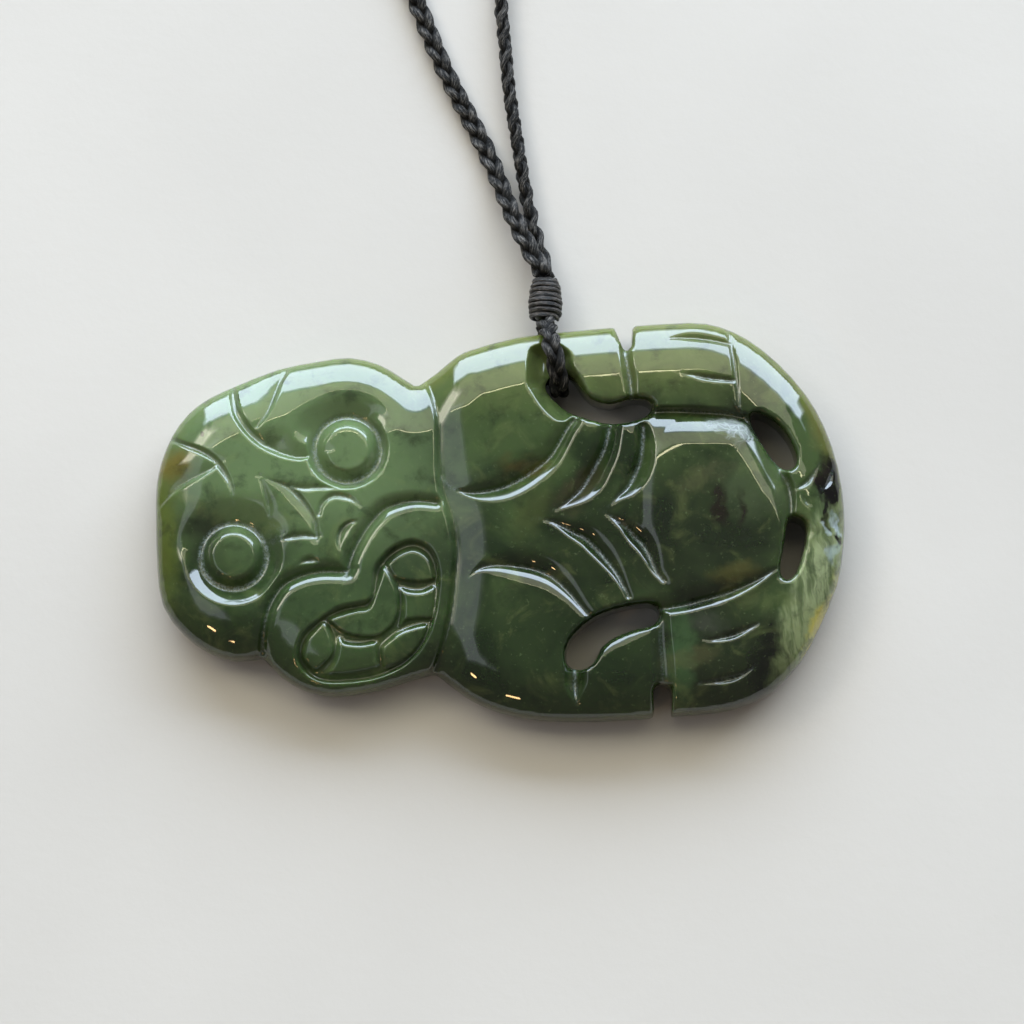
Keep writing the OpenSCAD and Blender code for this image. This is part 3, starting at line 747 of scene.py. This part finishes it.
TEETH = [
    [(-11.4, -4.5), (-10.6, -3.5), (-9.5, -2.9), (-8.5, -2.7), (-7.4, -3.2), (-6.7, -4.1),
     (-6.4, -5.4), (-6.5, -6.2), (-7.7, -6.5), (-9.3, -6.4), (-10.6, -6)],
    [(-10, -6.8), (-8.9, -7), (-7.7, -7), (-6.4, -6.6), (-6.3, -8.5), (-6.6, -10.1),
     (-8.1, -10.2), (-9.3, -10.4), (-10, -11), (-9.8, -9.5), (-9.8, -8)],
    [(-7.3, -10.4), (-7.4, -11.8), (-8.3, -13.3), (-9.7, -14.4), (-11.4, -15), (-11.8, -14.1),
     (-11.9, -12.8), (-11.2, -12), (-9.7, -11)],
    [(-17.6, -10), (-16.8, -11.2), (-16.5, -12.6), (-16.7, -13.8), (-17.5, -14.7), (-18.5, -15.3),
     (-19.5, -14.5), (-19.9, -13.5), (-19.5, -12), (-18.7, -11)],
    [(-16.1, -11.8), (-15.4, -12.2), (-13.8, -12.35), (-12.3, -12.2), (-12.2, -13.6),
     (-12.1, -14.9), (-14.2, -15.5), (-16.5, -15.7), (-17.7, -15.5), (-16.6, -14)]]
MOUTH_DEPTH = 0.95
TONGUE_DEPTH = 0.3
TOOTH_DEPTH = 0.42
MOUTH_WALL = 0.5
TONGUE_WALL = 0.35
TONGUE_BEVEL = 0.8

# Dish beside the upper hand, where the cord lies
DISH = [
    (3.3, 17.6), (2.8, 16.3), (2.7, 15), (2.8, 13.6), (3.4, 12.5), (4.1, 11.4), (4.9, 10.5),
    (5.8, 9.8), (6.6, 9.6), (7.3, 9.9), (9, 11), (8.8, 13.2), (7.6, 15.4), (7.2, 16.9),
    (5.6, 18)]
DISH_DEPTH = 2.1
DISH_WALL = 2.2

# Belly's low dome, and the scoop in the back where the cord passes under the forearm
BELLY_MIDDLE = (22.0, 1.1)
BELLY_HALF = (7.6, 9.8)
BELLY_SQUARENESS = 2.4
SCOOP = np.array([[6.4, 13.2], [4.9, 20.6]])
SCOOP_W = 5.0
SCOOP_DEPTH = 2.1


def line_field(plan, line, reach):
    """Distance of each place to the line, its side (1 on the left) and its share of the length."""
    near = np.full(len(plan), reach * 4.0)
    side = np.ones(len(plan))
    share = np.zeros(len(plan))
    low, high = line.min(0) - reach, line.max(0) + reach
    inside = np.flatnonzero(((plan >= low) & (plan <= high)).all(1))
    p = plan[inside]
    length = travelled(line)
    best, best_side, best_share = near[inside], side[inside], share[inside]
    for k in range(len(line) - 1):
        span = line[k + 1] - line[k]
        size = np.linalg.norm(span)
        t = clipped((p - line[k]) @ span / size ** 2)
        off = p - line[k] - t[:, None] * span
        distance = np.hypot(off[:, 0], off[:, 1])
        nearer = distance < best
        best = np.where(nearer, distance, best)
        left = np.where(span[0] * off[:, 1] - span[1] * off[:, 0] >= 0, 1.0, -1.0)
        best_side = np.where(nearer, left, best_side)
        best_share = np.where(nearer, (length[k] + t * size) / length[-1], best_share)
    near[inside], side[inside], share[inside] = best, best_side, best_share
    return near, side, share


def inside_depth(plan, outline, reach):
    """Distance to the outline, counted from it inwards and negative outside."""
    near, _, _ = line_field(plan, outline, reach)
    x, y = plan.T
    within = np.zeros(len(plan), bool)
    for (ax, ay), (bx, by) in zip(outline[:-1], outline[1:]):
        if ay != by:
            within ^= ((ay > y) != (by > y)) & (x < (bx - ax) * (y - ay) / (by - ay) + ax)
    return np.where(within, near, -near)


def wall_share(q, fall):
    """Share of the full depth at q of the way from the bottom of a cut to its edge."""
    q = clipped(q)
    return np.where(fall >= 1, (1 - q) ** np.maximum(fall, 1), 1 - q ** (1 / np.minimum(fall, 1)))


def cut_depth(plan, row):
    """Depth of one cut at each place, and how near each place is to its bottom."""
    left, right, left_fall, right_fall, depth, first, last, raw, route = row
    near, side, share = line_field(plan, smooth_route(route, 6), max(left, right) + 0.4)
    full = (1 - (1 - first) * (1 - ease(share / TAPER))
            - (1 - last) * (1 - ease((1 - share) / TAPER)))
    width = np.where(side > 0, left, right) * full ** 0.9
    fall = np.where(side > 0, left_fall, right_fall)
    cut = depth * full * wall_share(near / np.maximum(width, 1e-6), fall)
    return cut, clipped(1.2 - near / RAW_HALF) * full * raw


def eye_depth(plan, eye):
    """Depth of one eye's boss, ring and socket at each place, and the distance to its middle."""
    middle, open_side, other_side, bearing, reach = eye
    off = plan - np.array(middle)
    radius = np.hypot(off[:, 0], off[:, 1])
    turn = np.abs((np.degrees(np.arctan2(off[:, 1], off[:, 0])) - bearing + 180) % 360 - 180)
    share = 1 - ease((turn - reach) / EYE_SIDE_FADE)
    opened, other = (smooth_route(table, 5) for table in (open_side, other_side))
    return ((1 - share) * np.interp(radius, opened[:, 0], opened[:, 1])
            + share * np.interp(radius, other[:, 0], other[:, 1])), radius


def mouth_depth(plan):
    """Depth in the mouth. The tongue and teeth have a wide bevel on the side of the cord."""
    hollow = inside_depth(plan, smooth_outline(MOUTH, 4), 2.0)
    near_mouth = hollow > -1.0
    depth = np.zeros(len(plan))
    p = plan[near_mouth]
    floor = MOUTH_DEPTH * ease(hollow[near_mouth] / MOUTH_WALL + 0.1)
    for outline, top in [(TONGUE, TONGUE_DEPTH)] + [(tooth, TOOTH_DEPTH) for tooth in TEETH]:
        rounded = smooth_outline(outline, 4)
        within = inside_depth(p, rounded, 2.0) / TONGUE_WALL
        bevel = inside_depth(p + np.array([0, 0.35]), rounded, 2.0) / TONGUE_BEVEL + 0.35
        rise = ease(np.minimum(within + 0.3, bevel))
        floor = np.minimum(floor, MOUTH_DEPTH + (top - MOUTH_DEPTH) * rise)
    depth[near_mouth] = floor
    return depth


def dish_depth(plan):
    within = inside_depth(plan, smooth_outline(DISH, 4), 4.0)
    wall = 1 - (1 - clipped(within / DISH_WALL)) ** 1.7
    return DISH_DEPTH * np.where(within > 0, wall, 0)


def belly_rise(plan):
    """A low dome with a nearly square plan."""
    off = np.abs(plan - np.array(BELLY_MIDDLE)) / np.array(BELLY_HALF)
    out = (off ** BELLY_SQUARENESS).sum(1) ** (1 / BELLY_SQUARENESS)
    return BELLY_RISE * clipped(1 - out ** 6)


def carving(plan):
    """Depth of all the carving at each place, and how near it is to the bottom of a cut."""
    depth = np.zeros(len(plan))
    bottom = np.zeros(len(plan))
    for row in CUTS.values():
        cut, low = cut_depth(plan, row)
        depth = np.maximum(depth, cut)
        bottom = np.maximum(bottom, low)
    for eye in EYES:
        cut, radius = eye_depth(plan, eye)
        depth = np.maximum(depth, cut)
        ring = clipped(1.8 - np.abs(radius - RING_AT) / RING_HALF)
        bottom = np.maximum(bottom, RING_RAWNESS * ring)
    depth = np.maximum(depth, mouth_depth(plan))
    return np.maximum(depth, dish_depth(plan)), bottom


def figure_plan(node):
    """The figure's plan with its windows, as flat faces in millimetres."""
    bm = bmesh.new()
    bm.from_mesh(node.data)
    bmesh.ops.scale(bm, vec=(1 / MM,) * 3, verts=bm.verts)
    bmesh.ops.remove_doubles(bm, verts=bm.verts, dist=0.001)
    whole = bm.verts[:] + bm.edges[:] + bm.faces[:]
    cut = bmesh.ops.bisect_plane(bm, geom=whole, dist=1e-5, plane_co=(0, 0, SECTION_AT),
                                 plane_no=(0, 0, 1))
    kept = set(cut["geom_cut"])
    bmesh.ops.delete(bm, geom=bm.faces[:], context="FACES_ONLY")
    bmesh.ops.delete(bm, geom=[e for e in bm.edges if e not in kept], context="EDGES")
    loose = [v for v in bm.verts if not v.link_edges]
    bmesh.ops.delete(bm, geom=loose, context="VERTS")
    bmesh.ops.remove_doubles(bm, verts=bm.verts, dist=0.02)
    bmesh.ops.triangle_fill(bm, use_beauty=True, use_dissolve=False, edges=bm.edges[:])
    return bm


def rim_points(bm):
    """Numbers of the points on the outer rim, found by a walk along it from the feet."""
    on_edges = [v for v in bm.verts if any(e.is_boundary for e in v.link_edges)]
    walk = [max(on_edges, key=lambda v: v.co.x)]
    rim = set()
    while walk:
        v = walk.pop()
        if v.index not in rim:
            rim.add(v.index)
            walk += [e.other_vert(v) for e in v.link_edges if e.is_boundary]
    return rim


def in_notch(place, into):
    """Whether a place on the outline is on a wall of a notch that counts as a window's."""
    counts = abs(into.x) > SIDE_WALL or abs(place.y) < RIM_FROM
    return counts and any(x0 < place.x < x1 and y0 < place.y < y1 for x0, x1, y0, y1 in NOTCH_WALLS)


def outline_samples(bm):
    """Rows along outline and windows: x, y, the way into the stone there, 0 on the rim or 1."""
    outline = [e for e in bm.edges if e.is_boundary]
    inward = {}
    walls = {}
    for edge in outline:
        a, b = (v.co for v in edge.verts)
        along = (b - a).normalized()
        into = Vector((-along.y, along.x, 0))
        if into.dot(edge.link_faces[0].calc_center_median() - a) < 0:
            into = -into
        inward[edge.index] = into
        for v in edge.verts:
            walls.setdefault(v.index, []).append(into)
    rim = rim_points(bm)
    rows = []
    for edge in outline:
        own = inward[edge.index]
        a, b = edge.verts
        first, last = (sum((w for w in walls[v.index] if w.dot(own) > SAME_WALL), Vector())
                       for v in (a, b))
        count = max(1, int(ceil((a.co - b.co).length / SAMPLE_STEP)))
        for k in range(count + 1):
            place = a.co.lerp(b.co, k / count)
            into = first.normalized().lerp(last.normalized(), k / count).normalized()
            window = a.index not in rim or in_notch(place, into)
            rows.append((place.x, place.y, into.x, into.y, window))
    return np.array(rows, float)


class Wall:
    """One kind of wall of the stone: the rounded rim, or the walls of windows and notches."""

    def __init__(self, rows, reach, corner, back_corner, top):
        self.rows, self.reach, self.top = rows, reach, top
        self.corner, self.back_corner = corner, back_corner
        self.tree = kdtree.KDTree(len(rows))
        for i, row in enumerate(rows):
            self.tree.insert((row[0], row[1], 0), i)
        self.tree.balance()

    def find(self, plan):
        """Distance of each place to this wall and the way from the wall into the stone."""
        found = [self.tree.find((x, y, 0)) for x, y in plan]
        near = [f[1] for f in found]
        distance = np.array([f[2] for f in found])
        into = self.rows[near, 2:4].copy()
        away = plan - self.rows[near, 0:2]
        far = distance > AT_WALL
        into[far] = away[far] / distance[far, None]
        return distance, into


def rim_top(inset):
    """Height of the front at that distance in from the rim."""
    away = np.clip(ROUND_REACH - inset, 0, None)
    fall = ROUND_RADIUS - np.sqrt(ROUND_RADIUS ** 2 - away ** 2)
    return THICKNESS - EDGE_DROP - fall + CROWN * (1 - np.exp(-inset / CROWN_REACH))


def window_top(inset):
    """Height of the front at that distance in from a window's edge."""
    q = clipped(1 - inset / WINDOW_REACH)
    return THICKNESS - WINDOW_ROUND + WINDOW_ROUND * np.sqrt(1 - q * q) + CROWN - EDGE_DROP


def shape_figure(plan, level, walls):
    """Moves the slab's places to the stone's surface. Level is 0 at the back and 1 in front."""
    upper = level >= 0.5
    rise = np.abs(level - 0.5) * 2
    shift = np.zeros_like(plan)
    top = np.full(len(plan), 1e3)
    for wall in walls:
        distance, into = wall.find(plan)
        fade = clipped(1 - distance / wall.reach) ** 2
        amount = np.where(upper, wall.corner, wall.back_corner) * fade * rise ** 2.2
        shift += into * amount[:, None]
        top = np.minimum(top, wall.top(distance + wall.corner * fade))
    middle = UPRIGHT_SHARE * THICKNESS
    z = np.where(upper, middle + (top - middle) * rise ** 1.1, middle * (1 - rise ** 1.3))
    return plan + shift, z, upper


def waviness(plan):
    """Slight waves that the last polishing leaves."""
    x, y = plan.T
    return 0.002 * np.sin(0.9 * x + 1) * np.cos(0.7 * y) + 0.0004 * np.sin(2.1 * x + 1.3 * y)


# Patches of other colour in the stone, and a few of painted light and shade that are marked
# as such. Columns: middle, half sizes, turn in degrees, how soft the edge is, share, colour
# as it looks.
STONE_AND_PAINTED_LIGHT_PATCHES = [
    # Painted reflection: the upper band lighter, standing for the pale wall seen in the stone.
    ((6, 19), (34, 6.5), 0, 0.5, 0.55, (98, 108, 62)),
    ((-21, 7), (15, 10), -20, 0.55, 0.85, (94, 113, 76)),
    ((-17, -9), (10, 7), -30, 0.5, 0.7, (56, 74, 44)),
    ((-22.6, -3.4), (1.6, 1.8), 0, 0.6, 0.5, (34, 46, 28)),
    ((-21.8, 1.8), (2.2, 2.2), 0, 0.6, 0.35, (50, 66, 40)),
    # Painted shade: the belly darker on its lower, left side, turned away from the light.
    ((21, -1.5), (8, 8), 0, 0.35, 0.75, (25, 31, 19)),
    # Painted reflection: the belly lighter on its upper right.
    ((25.4, 3.8), (3, 3.6), 0, 0.5, 0.4, (80, 94, 62)),
    ((10, -4), (8, 6), 30, 0.5, 0.7, (18, 26, 13)),
    ((22, -14.5), (7.5, 5.5), 0, 0.45, 0.8, (22, 27, 16)),
    ((6, -15), (11, 7), 0, 0.4, 0.7, (20, 32, 15)),
    ((-27, -13), (8, 3.5), -25, 0.4, 0.5, (32, 46, 20)),
    ((-34, -2), (1.8, 7), 0, 0.6, 0.6, (84, 94, 34)),
    ((-33, 5.4), (1.8, 1.6), 30, 0.7, 0.6, (104, 84, 26)),
    # Painted shade to the left of the lower eye.
    ((-30, -0.6), (2, 1.5), 0, 0.7, 0.6, (24, 28, 18)),
    ((-30.1, 8.6), (0.28, 0.45), 10, 0.5, 0.9, (12, 18, 8)),
    ((2.5, 5.4), (2.2, 0.9), 0, 0.7, 0.5, (76, 62, 26)),
    ((8.2, 3.2), (3.2, 1.3), 48, 0.6, 0.45, (60, 52, 34)),
    ((3.5, 0.8), (3, 1.5), 60, 0.6, 0.35, (70, 76, 38)),
    ((23.4, -5.6), (2.4, 1.1), 0, 0.6, 0.6, (74, 70, 34)),
    ((20.5, 4.2), (2.4, 1), 20, 0.6, 0.4, (74, 76, 50)),
    ((16.3, 0.4), (1.1, 1.7), 0, 0.7, 0.6, (18, 24, 18)),
    ((22.3, 0.9), (0.55, 1.6), 4, 0.9, 0.8, (22, 11, 12)),
    ((24.1, 1), (0.4, 1.3), -3, 0.9, 0.75, (22, 12, 12)),
    ((21.7, 2.5), (0.4, 0.6), 0, 0.6, 0.7, (26, 20, 16)),
    ((18.1, -14), (1.3, 4.4), 0, 0.5, 0.5, (64, 90, 54)),
    ((26.7, -14.2), (1.1, 4.2), -12, 0.75, 0.9, (12, 15, 11)),
    ((20.8, -10.8), (1.6, 1.2), 0, 0.7, 0.4, (70, 74, 62)),
    ((19.2, -14.2), (2.6, 0.9), 5, 0.6, 0.4, (76, 74, 46)),
    ((31.9, -7.5), (2.4, 8.5), -13, 0.5, 0.8, (150, 160, 120)),
    ((29.9, -12.4), (1.7, 4.2), -30, 0.5, 0.55, (116, 126, 84)),
    ((32.9, -10.2), (0.9, 5.4), -22, 0.5, 0.8, (176, 162, 76)),
    ((33.2, 9), (1.6, 4.2), 24, 0.6, 0.4, (84, 80, 44)),
    ((33.3, 3.5), (0.95, 2.7), 4, 0.3, 1, (5, 5, 5)),
    ((32.5, 4.7), (0.5, 1.4), 0, 0.5, 0.8, (22, 18, 14)),
    ((32.9, 0.1), (0.4, 1.2), 0, 0.4, 0.95, (10, 9, 9)),
    ((34, -0.4), (0.4, 0.8), 8, 0.5, 0.8, (170, 184, 190)),
    ((33.9, -1.8), (0.4, 0.9), 8, 0.4, 0.95, (10, 9, 9)),
    ((32.8, -1.1), (0.3, 0.5), 0, 0.5, 0.8, (160, 172, 176)),
    ((33.7, -3.4), (0.5, 1), 6, 0.6, 0.6, (150, 164, 164)),
]
NATURAL_SKIN = ((23.3, 9), (2.4, 1.2), -14)


# The stone's noises, each its scale, detail, roughness and distortion
CLOUD = (110.0, 4.0, 0.55, 0.5)
MOTTLE = (420.0, 4.0, 0.6, 0.3)
PALE_CLOUD = (260.0, 4.0, 0.6, 0.8)
FLECKS = (2200.0, 3.0, 0.6)
UNEVENNESS = (330.0, 3.0, 0.6)
STREAKS = (500.0, 3.0, 0.6)
SCRATCHES = (3600.0, 2.0, 0.7)
CRACK_SCALE = 1300.0

# How far the unevenness and the cloud push places about, in metres, and the lie of the streaks
UNEVEN_PUSH = 0.004
CLOUD_PUSH = 0.003
STREAK_TURN = 8
STREAK_SIZES = (0.35, 3.0, 1.0)

# A patch is streaky if it is at least this large and this bright
STREAKY_SIZE = 0.85
STREAKY_LIGHT = 115

# Colours of the stone as they look, and of the painted glow along its lit rim
DEEP_GREEN = colour(28, 40, 21)
LEAF_GREEN = colour(56, 71, 39)
PAINTED_RIM_GLOW = colour(112, 112, 40)
MOTTLE_GREEN = colour(22, 32, 18)
PALE_GREEN = colour(104, 112, 66)
FLECK_GREEN = colour(100, 116, 76)
SKIN_GREY = colour(104, 112, 104)
SCRATCH_GREY = colour(128, 142, 142)


def seen_from(tree, place, middle, turn, sizes):
    """The place as seen from the middle of something with that turn and those sizes."""
    return add_node(tree, "Mapping", {"Vector": place, "Location": middle, "Scale": sizes,
                                      "Rotation": (0, 0, radians(turn))},
                    vector_type="TEXTURE").outputs["Vector"]


def patch_share(tree, place, middle, sizes, turn, soft):
    """1 inside a patch and 0 outside it."""
    off = seen_from(tree, place, (middle[0] * MM, middle[1] * MM, 0), turn,
                    (sizes[0] * MM, sizes[1] * MM, 1))
    length = add_node(tree, "VectorMath", {0: off}, operation="LENGTH").outputs["Value"]
    return spread(tree, length, 1 - soft, 1 + soft, 1.0, 0.0)


def warped(tree, place, noise, amount):
    """The place pushed about by the noise, so that a patch's edge is uneven."""
    centred = add_node(tree, "VectorMath", {0: noise["Color"], 1: (0.5, 0.5, 0.5)},
                       operation="SUBTRACT").outputs["Vector"]
    return add_node(tree, "VectorMath", {0: centred, 1: (amount,) * 3, 2: place},
                    operation="MULTIPLY_ADD").outputs["Vector"]


def stone_colour(tree, place, uneven, mottle):
    """Cloudy greens, a painted yellow glow along the rim's lit side, the patches, a few of them painted
    light and shade, and fine flecks.
    """
    cloud = noise_of(tree, place, *CLOUD)
    clouded = warped(tree, place, cloud, CLOUD_PUSH)
    drawn_out = seen_from(tree, clouded, (0, 0, 0), STREAK_TURN, STREAK_SIZES)
    streaks = spread(tree, noise_of(tree, drawn_out, *STREAKS)["Fac"], 0.36, 0.62, 0.25, 1.0)
    base = blend(tree, spread(tree, cloud["Fac"], 0.38, 0.62), DEEP_GREEN, LEAF_GREEN)
    # Painted glow: yellow along the rim, only on the side towards the light, as light shining through the
    # stone's edge.
    lit_side = spread(tree, split(tree, place)["Y"], -0.006, 0.012, 0.1, 0.65)
    base = blend(tree, times(tree, attribute(tree, "rim"), lit_side), base, PAINTED_RIM_GLOW)
    # Patches of colour, a few of them painted light and shade.
    for middle, sizes, turn, soft, share, tint in STONE_AND_PAINTED_LIGHT_PATCHES:
        inside = patch_share(tree, uneven, middle, sizes, turn, soft)
        if min(sizes) > STREAKY_SIZE and max(tint) > STREAKY_LIGHT:
            inside = times(tree, inside, streaks)
        base = blend(tree, times(tree, inside, share), base, colour(*tint))
    pale = noise_of(tree, place, *PALE_CLOUD)["Fac"]
    flecks = noise_of(tree, place, *FLECKS)["Fac"]
    for noise, low, high, share, tint in [(mottle, 0.50, 0.74, 0.55, MOTTLE_GREEN),
                                          (pale, 0.52, 0.72, 0.24, PALE_GREEN),
                                          (flecks, 0.60, 0.78, 0.3, FLECK_GREEN)]:
        base = blend(tree, spread(tree, noise, low, high, 0.0, share), base, tint)
    return base


def greenstone():
    """Polished nephrite, raw at the bottom of its cuts and where its natural skin is left."""
    material, tree, surface = new_material("greenstone")
    place = own_place(tree)
    uneven = warped(tree, place, noise_of(tree, place, *UNEVENNESS), UNEVEN_PUSH)
    mottle = noise_of(tree, place, *MOTTLE)["Fac"]
    scratches = noise_of(tree, place, *SCRATCHES)["Fac"]
    facets = add_node(tree, "TexVoronoi", {"Vector": uneven, "Scale": CRACK_SCALE},
                      feature="DISTANCE_TO_EDGE").outputs["Distance"]
    skin = patch_share(tree, uneven, *NATURAL_SKIN, 0.3)
    bottom = attribute(tree, "bottom")

    base = stone_colour(tree, place, uneven, mottle)
    skin_share = times(tree, skin, spread(tree, facets, 0.0, 0.25, 0.9, 0.3))
    base = blend(tree, skin_share, base, SKIN_GREY)
    speckle = times(tree, bottom, spread(tree, scratches, 0.42, 0.62, 0.1, 0.85))
    base = blend(tree, speckle, base, SCRATCH_GREY)

    worn = plus(tree, times(tree, bottom, 0.30), times(tree, skin, 0.3))
    height = plus(tree, times(tree, mottle, 0.06), times(tree, facets, skin))
    height = plus(tree, height, times(tree, maths(tree, "MAXIMUM", skin, bottom), scratches))
    set_inputs(tree, surface, {
        "Base Color": base,
        "Roughness": plus(tree, spread(tree, mottle, 0.3, 0.8, 0.025, 0.055), worn),
        "IOR": 1.62,
        "Subsurface Weight": 0.35,
        "Subsurface Radius": (0.5, 1.0, 0.3),
        "Subsurface Scale": 0.0022,
        "Normal": bump(tree, height, 0.35, 0.0001)})
    return material


def even_slab(plan_mesh):
    """The plan extruded to a slab with an even skin of small faces."""
    bmesh.ops.translate(plan_mesh, vec=(0, 0, -SECTION_AT), verts=plan_mesh.verts)
    bmesh.ops.recalc_face_normals(plan_mesh, faces=plan_mesh.faces)
    grown = bmesh.ops.extrude_face_region(plan_mesh, geom=plan_mesh.faces[:])["geom"]
    top = points_in(grown)
    bmesh.ops.translate(plan_mesh, vec=(0, 0, SLAB), verts=top)
    bmesh.ops.recalc_face_normals(plan_mesh, faces=plan_mesh.faces)
    slab = mesh_object("slab", plan_mesh)
    skin = slab.modifiers.new("skin", "REMESH")
    skin.mode = "VOXEL"
    skin.voxel_size = VOXEL
    rebuilt = slab.evaluated_get(bpy.context.evaluated_depsgraph_get())
    done = bpy.data.meshes.new_from_object(rebuilt)
    bpy.data.objects.remove(slab)
    bm = bmesh.new()
    bm.from_mesh(done)
    bpy.data.meshes.remove(done)
    return bm


def places_of(bm):
    return np.array([v.co for v in bm.verts])


def steepness(bm, depth):
    """Largest difference in depth between a place and its neighbours."""
    most = np.zeros(len(depth))
    for e in bm.edges:
        a, b = e.verts[0].index, e.verts[1].index
        change = abs(depth[a] - depth[b])
        most[a] = max(most[a], change)
        most[b] = max(most[b], change)
    return most


def refine_front(bm):
    """Smaller faces on the slab's front where the carving is steep."""
    depth, _ = carving(places_of(bm)[:, :2])
    steep = steepness(bm, depth)
    fine = [e for e in bm.edges if all(v.co.z > SLAB * FRONT_FROM for v in e.verts)
            and max(steep[v.index] for v in e.verts) > STEEP_FROM]
    bmesh.ops.subdivide_edges(bm, edges=fine, cuts=1, use_grid_fill=True)
    bm.verts.index_update()


def scoop_height(plan):
    """Height of the back over each place in the scoop."""
    near, _, _ = line_field(plan, SCOOP, SCOOP_W)
    return SCOOP_DEPTH * np.sqrt(clipped(1 - (near / SCOOP_W * 2) ** 2))


def carved_figure():
    plan_mesh = figure_plan(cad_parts["tiki"])
    plan_mesh.verts.index_update()
    samples = outline_samples(plan_mesh)
    of_window = samples[:, 4] > 0.5
    rim = Wall(samples[~of_window], *RIM_CORNERS, rim_top)
    window = Wall(samples[of_window], *WINDOW_CORNERS, window_top)
    bm = even_slab(plan_mesh)
    refine_front(bm)

    co = places_of(bm)
    level = co[:, 2] / SLAB
    plan, z, upper = shape_figure(co[:, :2], clipped(level), [rim, window])
    depth, bottom = carving(plan)
    share = clipped(np.abs(level - 0.5) * 2) ** 3
    front = z + (belly_rise(plan) + waviness(plan) - depth) * share
    z = np.where(upper, front, np.maximum(z, scoop_height(plan)))
    # Nearness to the rim, which the material uses for the painted glow on the lit rim.
    rim_near = clipped(1 - rim.find(plan)[0] / PAINTED_RIM_GLOW_WIDTH)

    rim_layer = bm.verts.layers.float.new("rim")
    bottom_layer = bm.verts.layers.float.new("bottom")
    for v, (x, y), height in zip(bm.verts, plan, z):
        v.co = (x, y, height)
        v[rim_layer] = float(rim_near[v.index])
        v[bottom_layer] = float(bottom[v.index]) if upper[v.index] else 0.0
    bmesh.ops.triangulate(bm, faces=[f for f in bm.faces if len(f.verts) > 4])
    new_piece("greenstone_figure", bm, greenstone(), "greenstone", "tiki")


carved_figure()
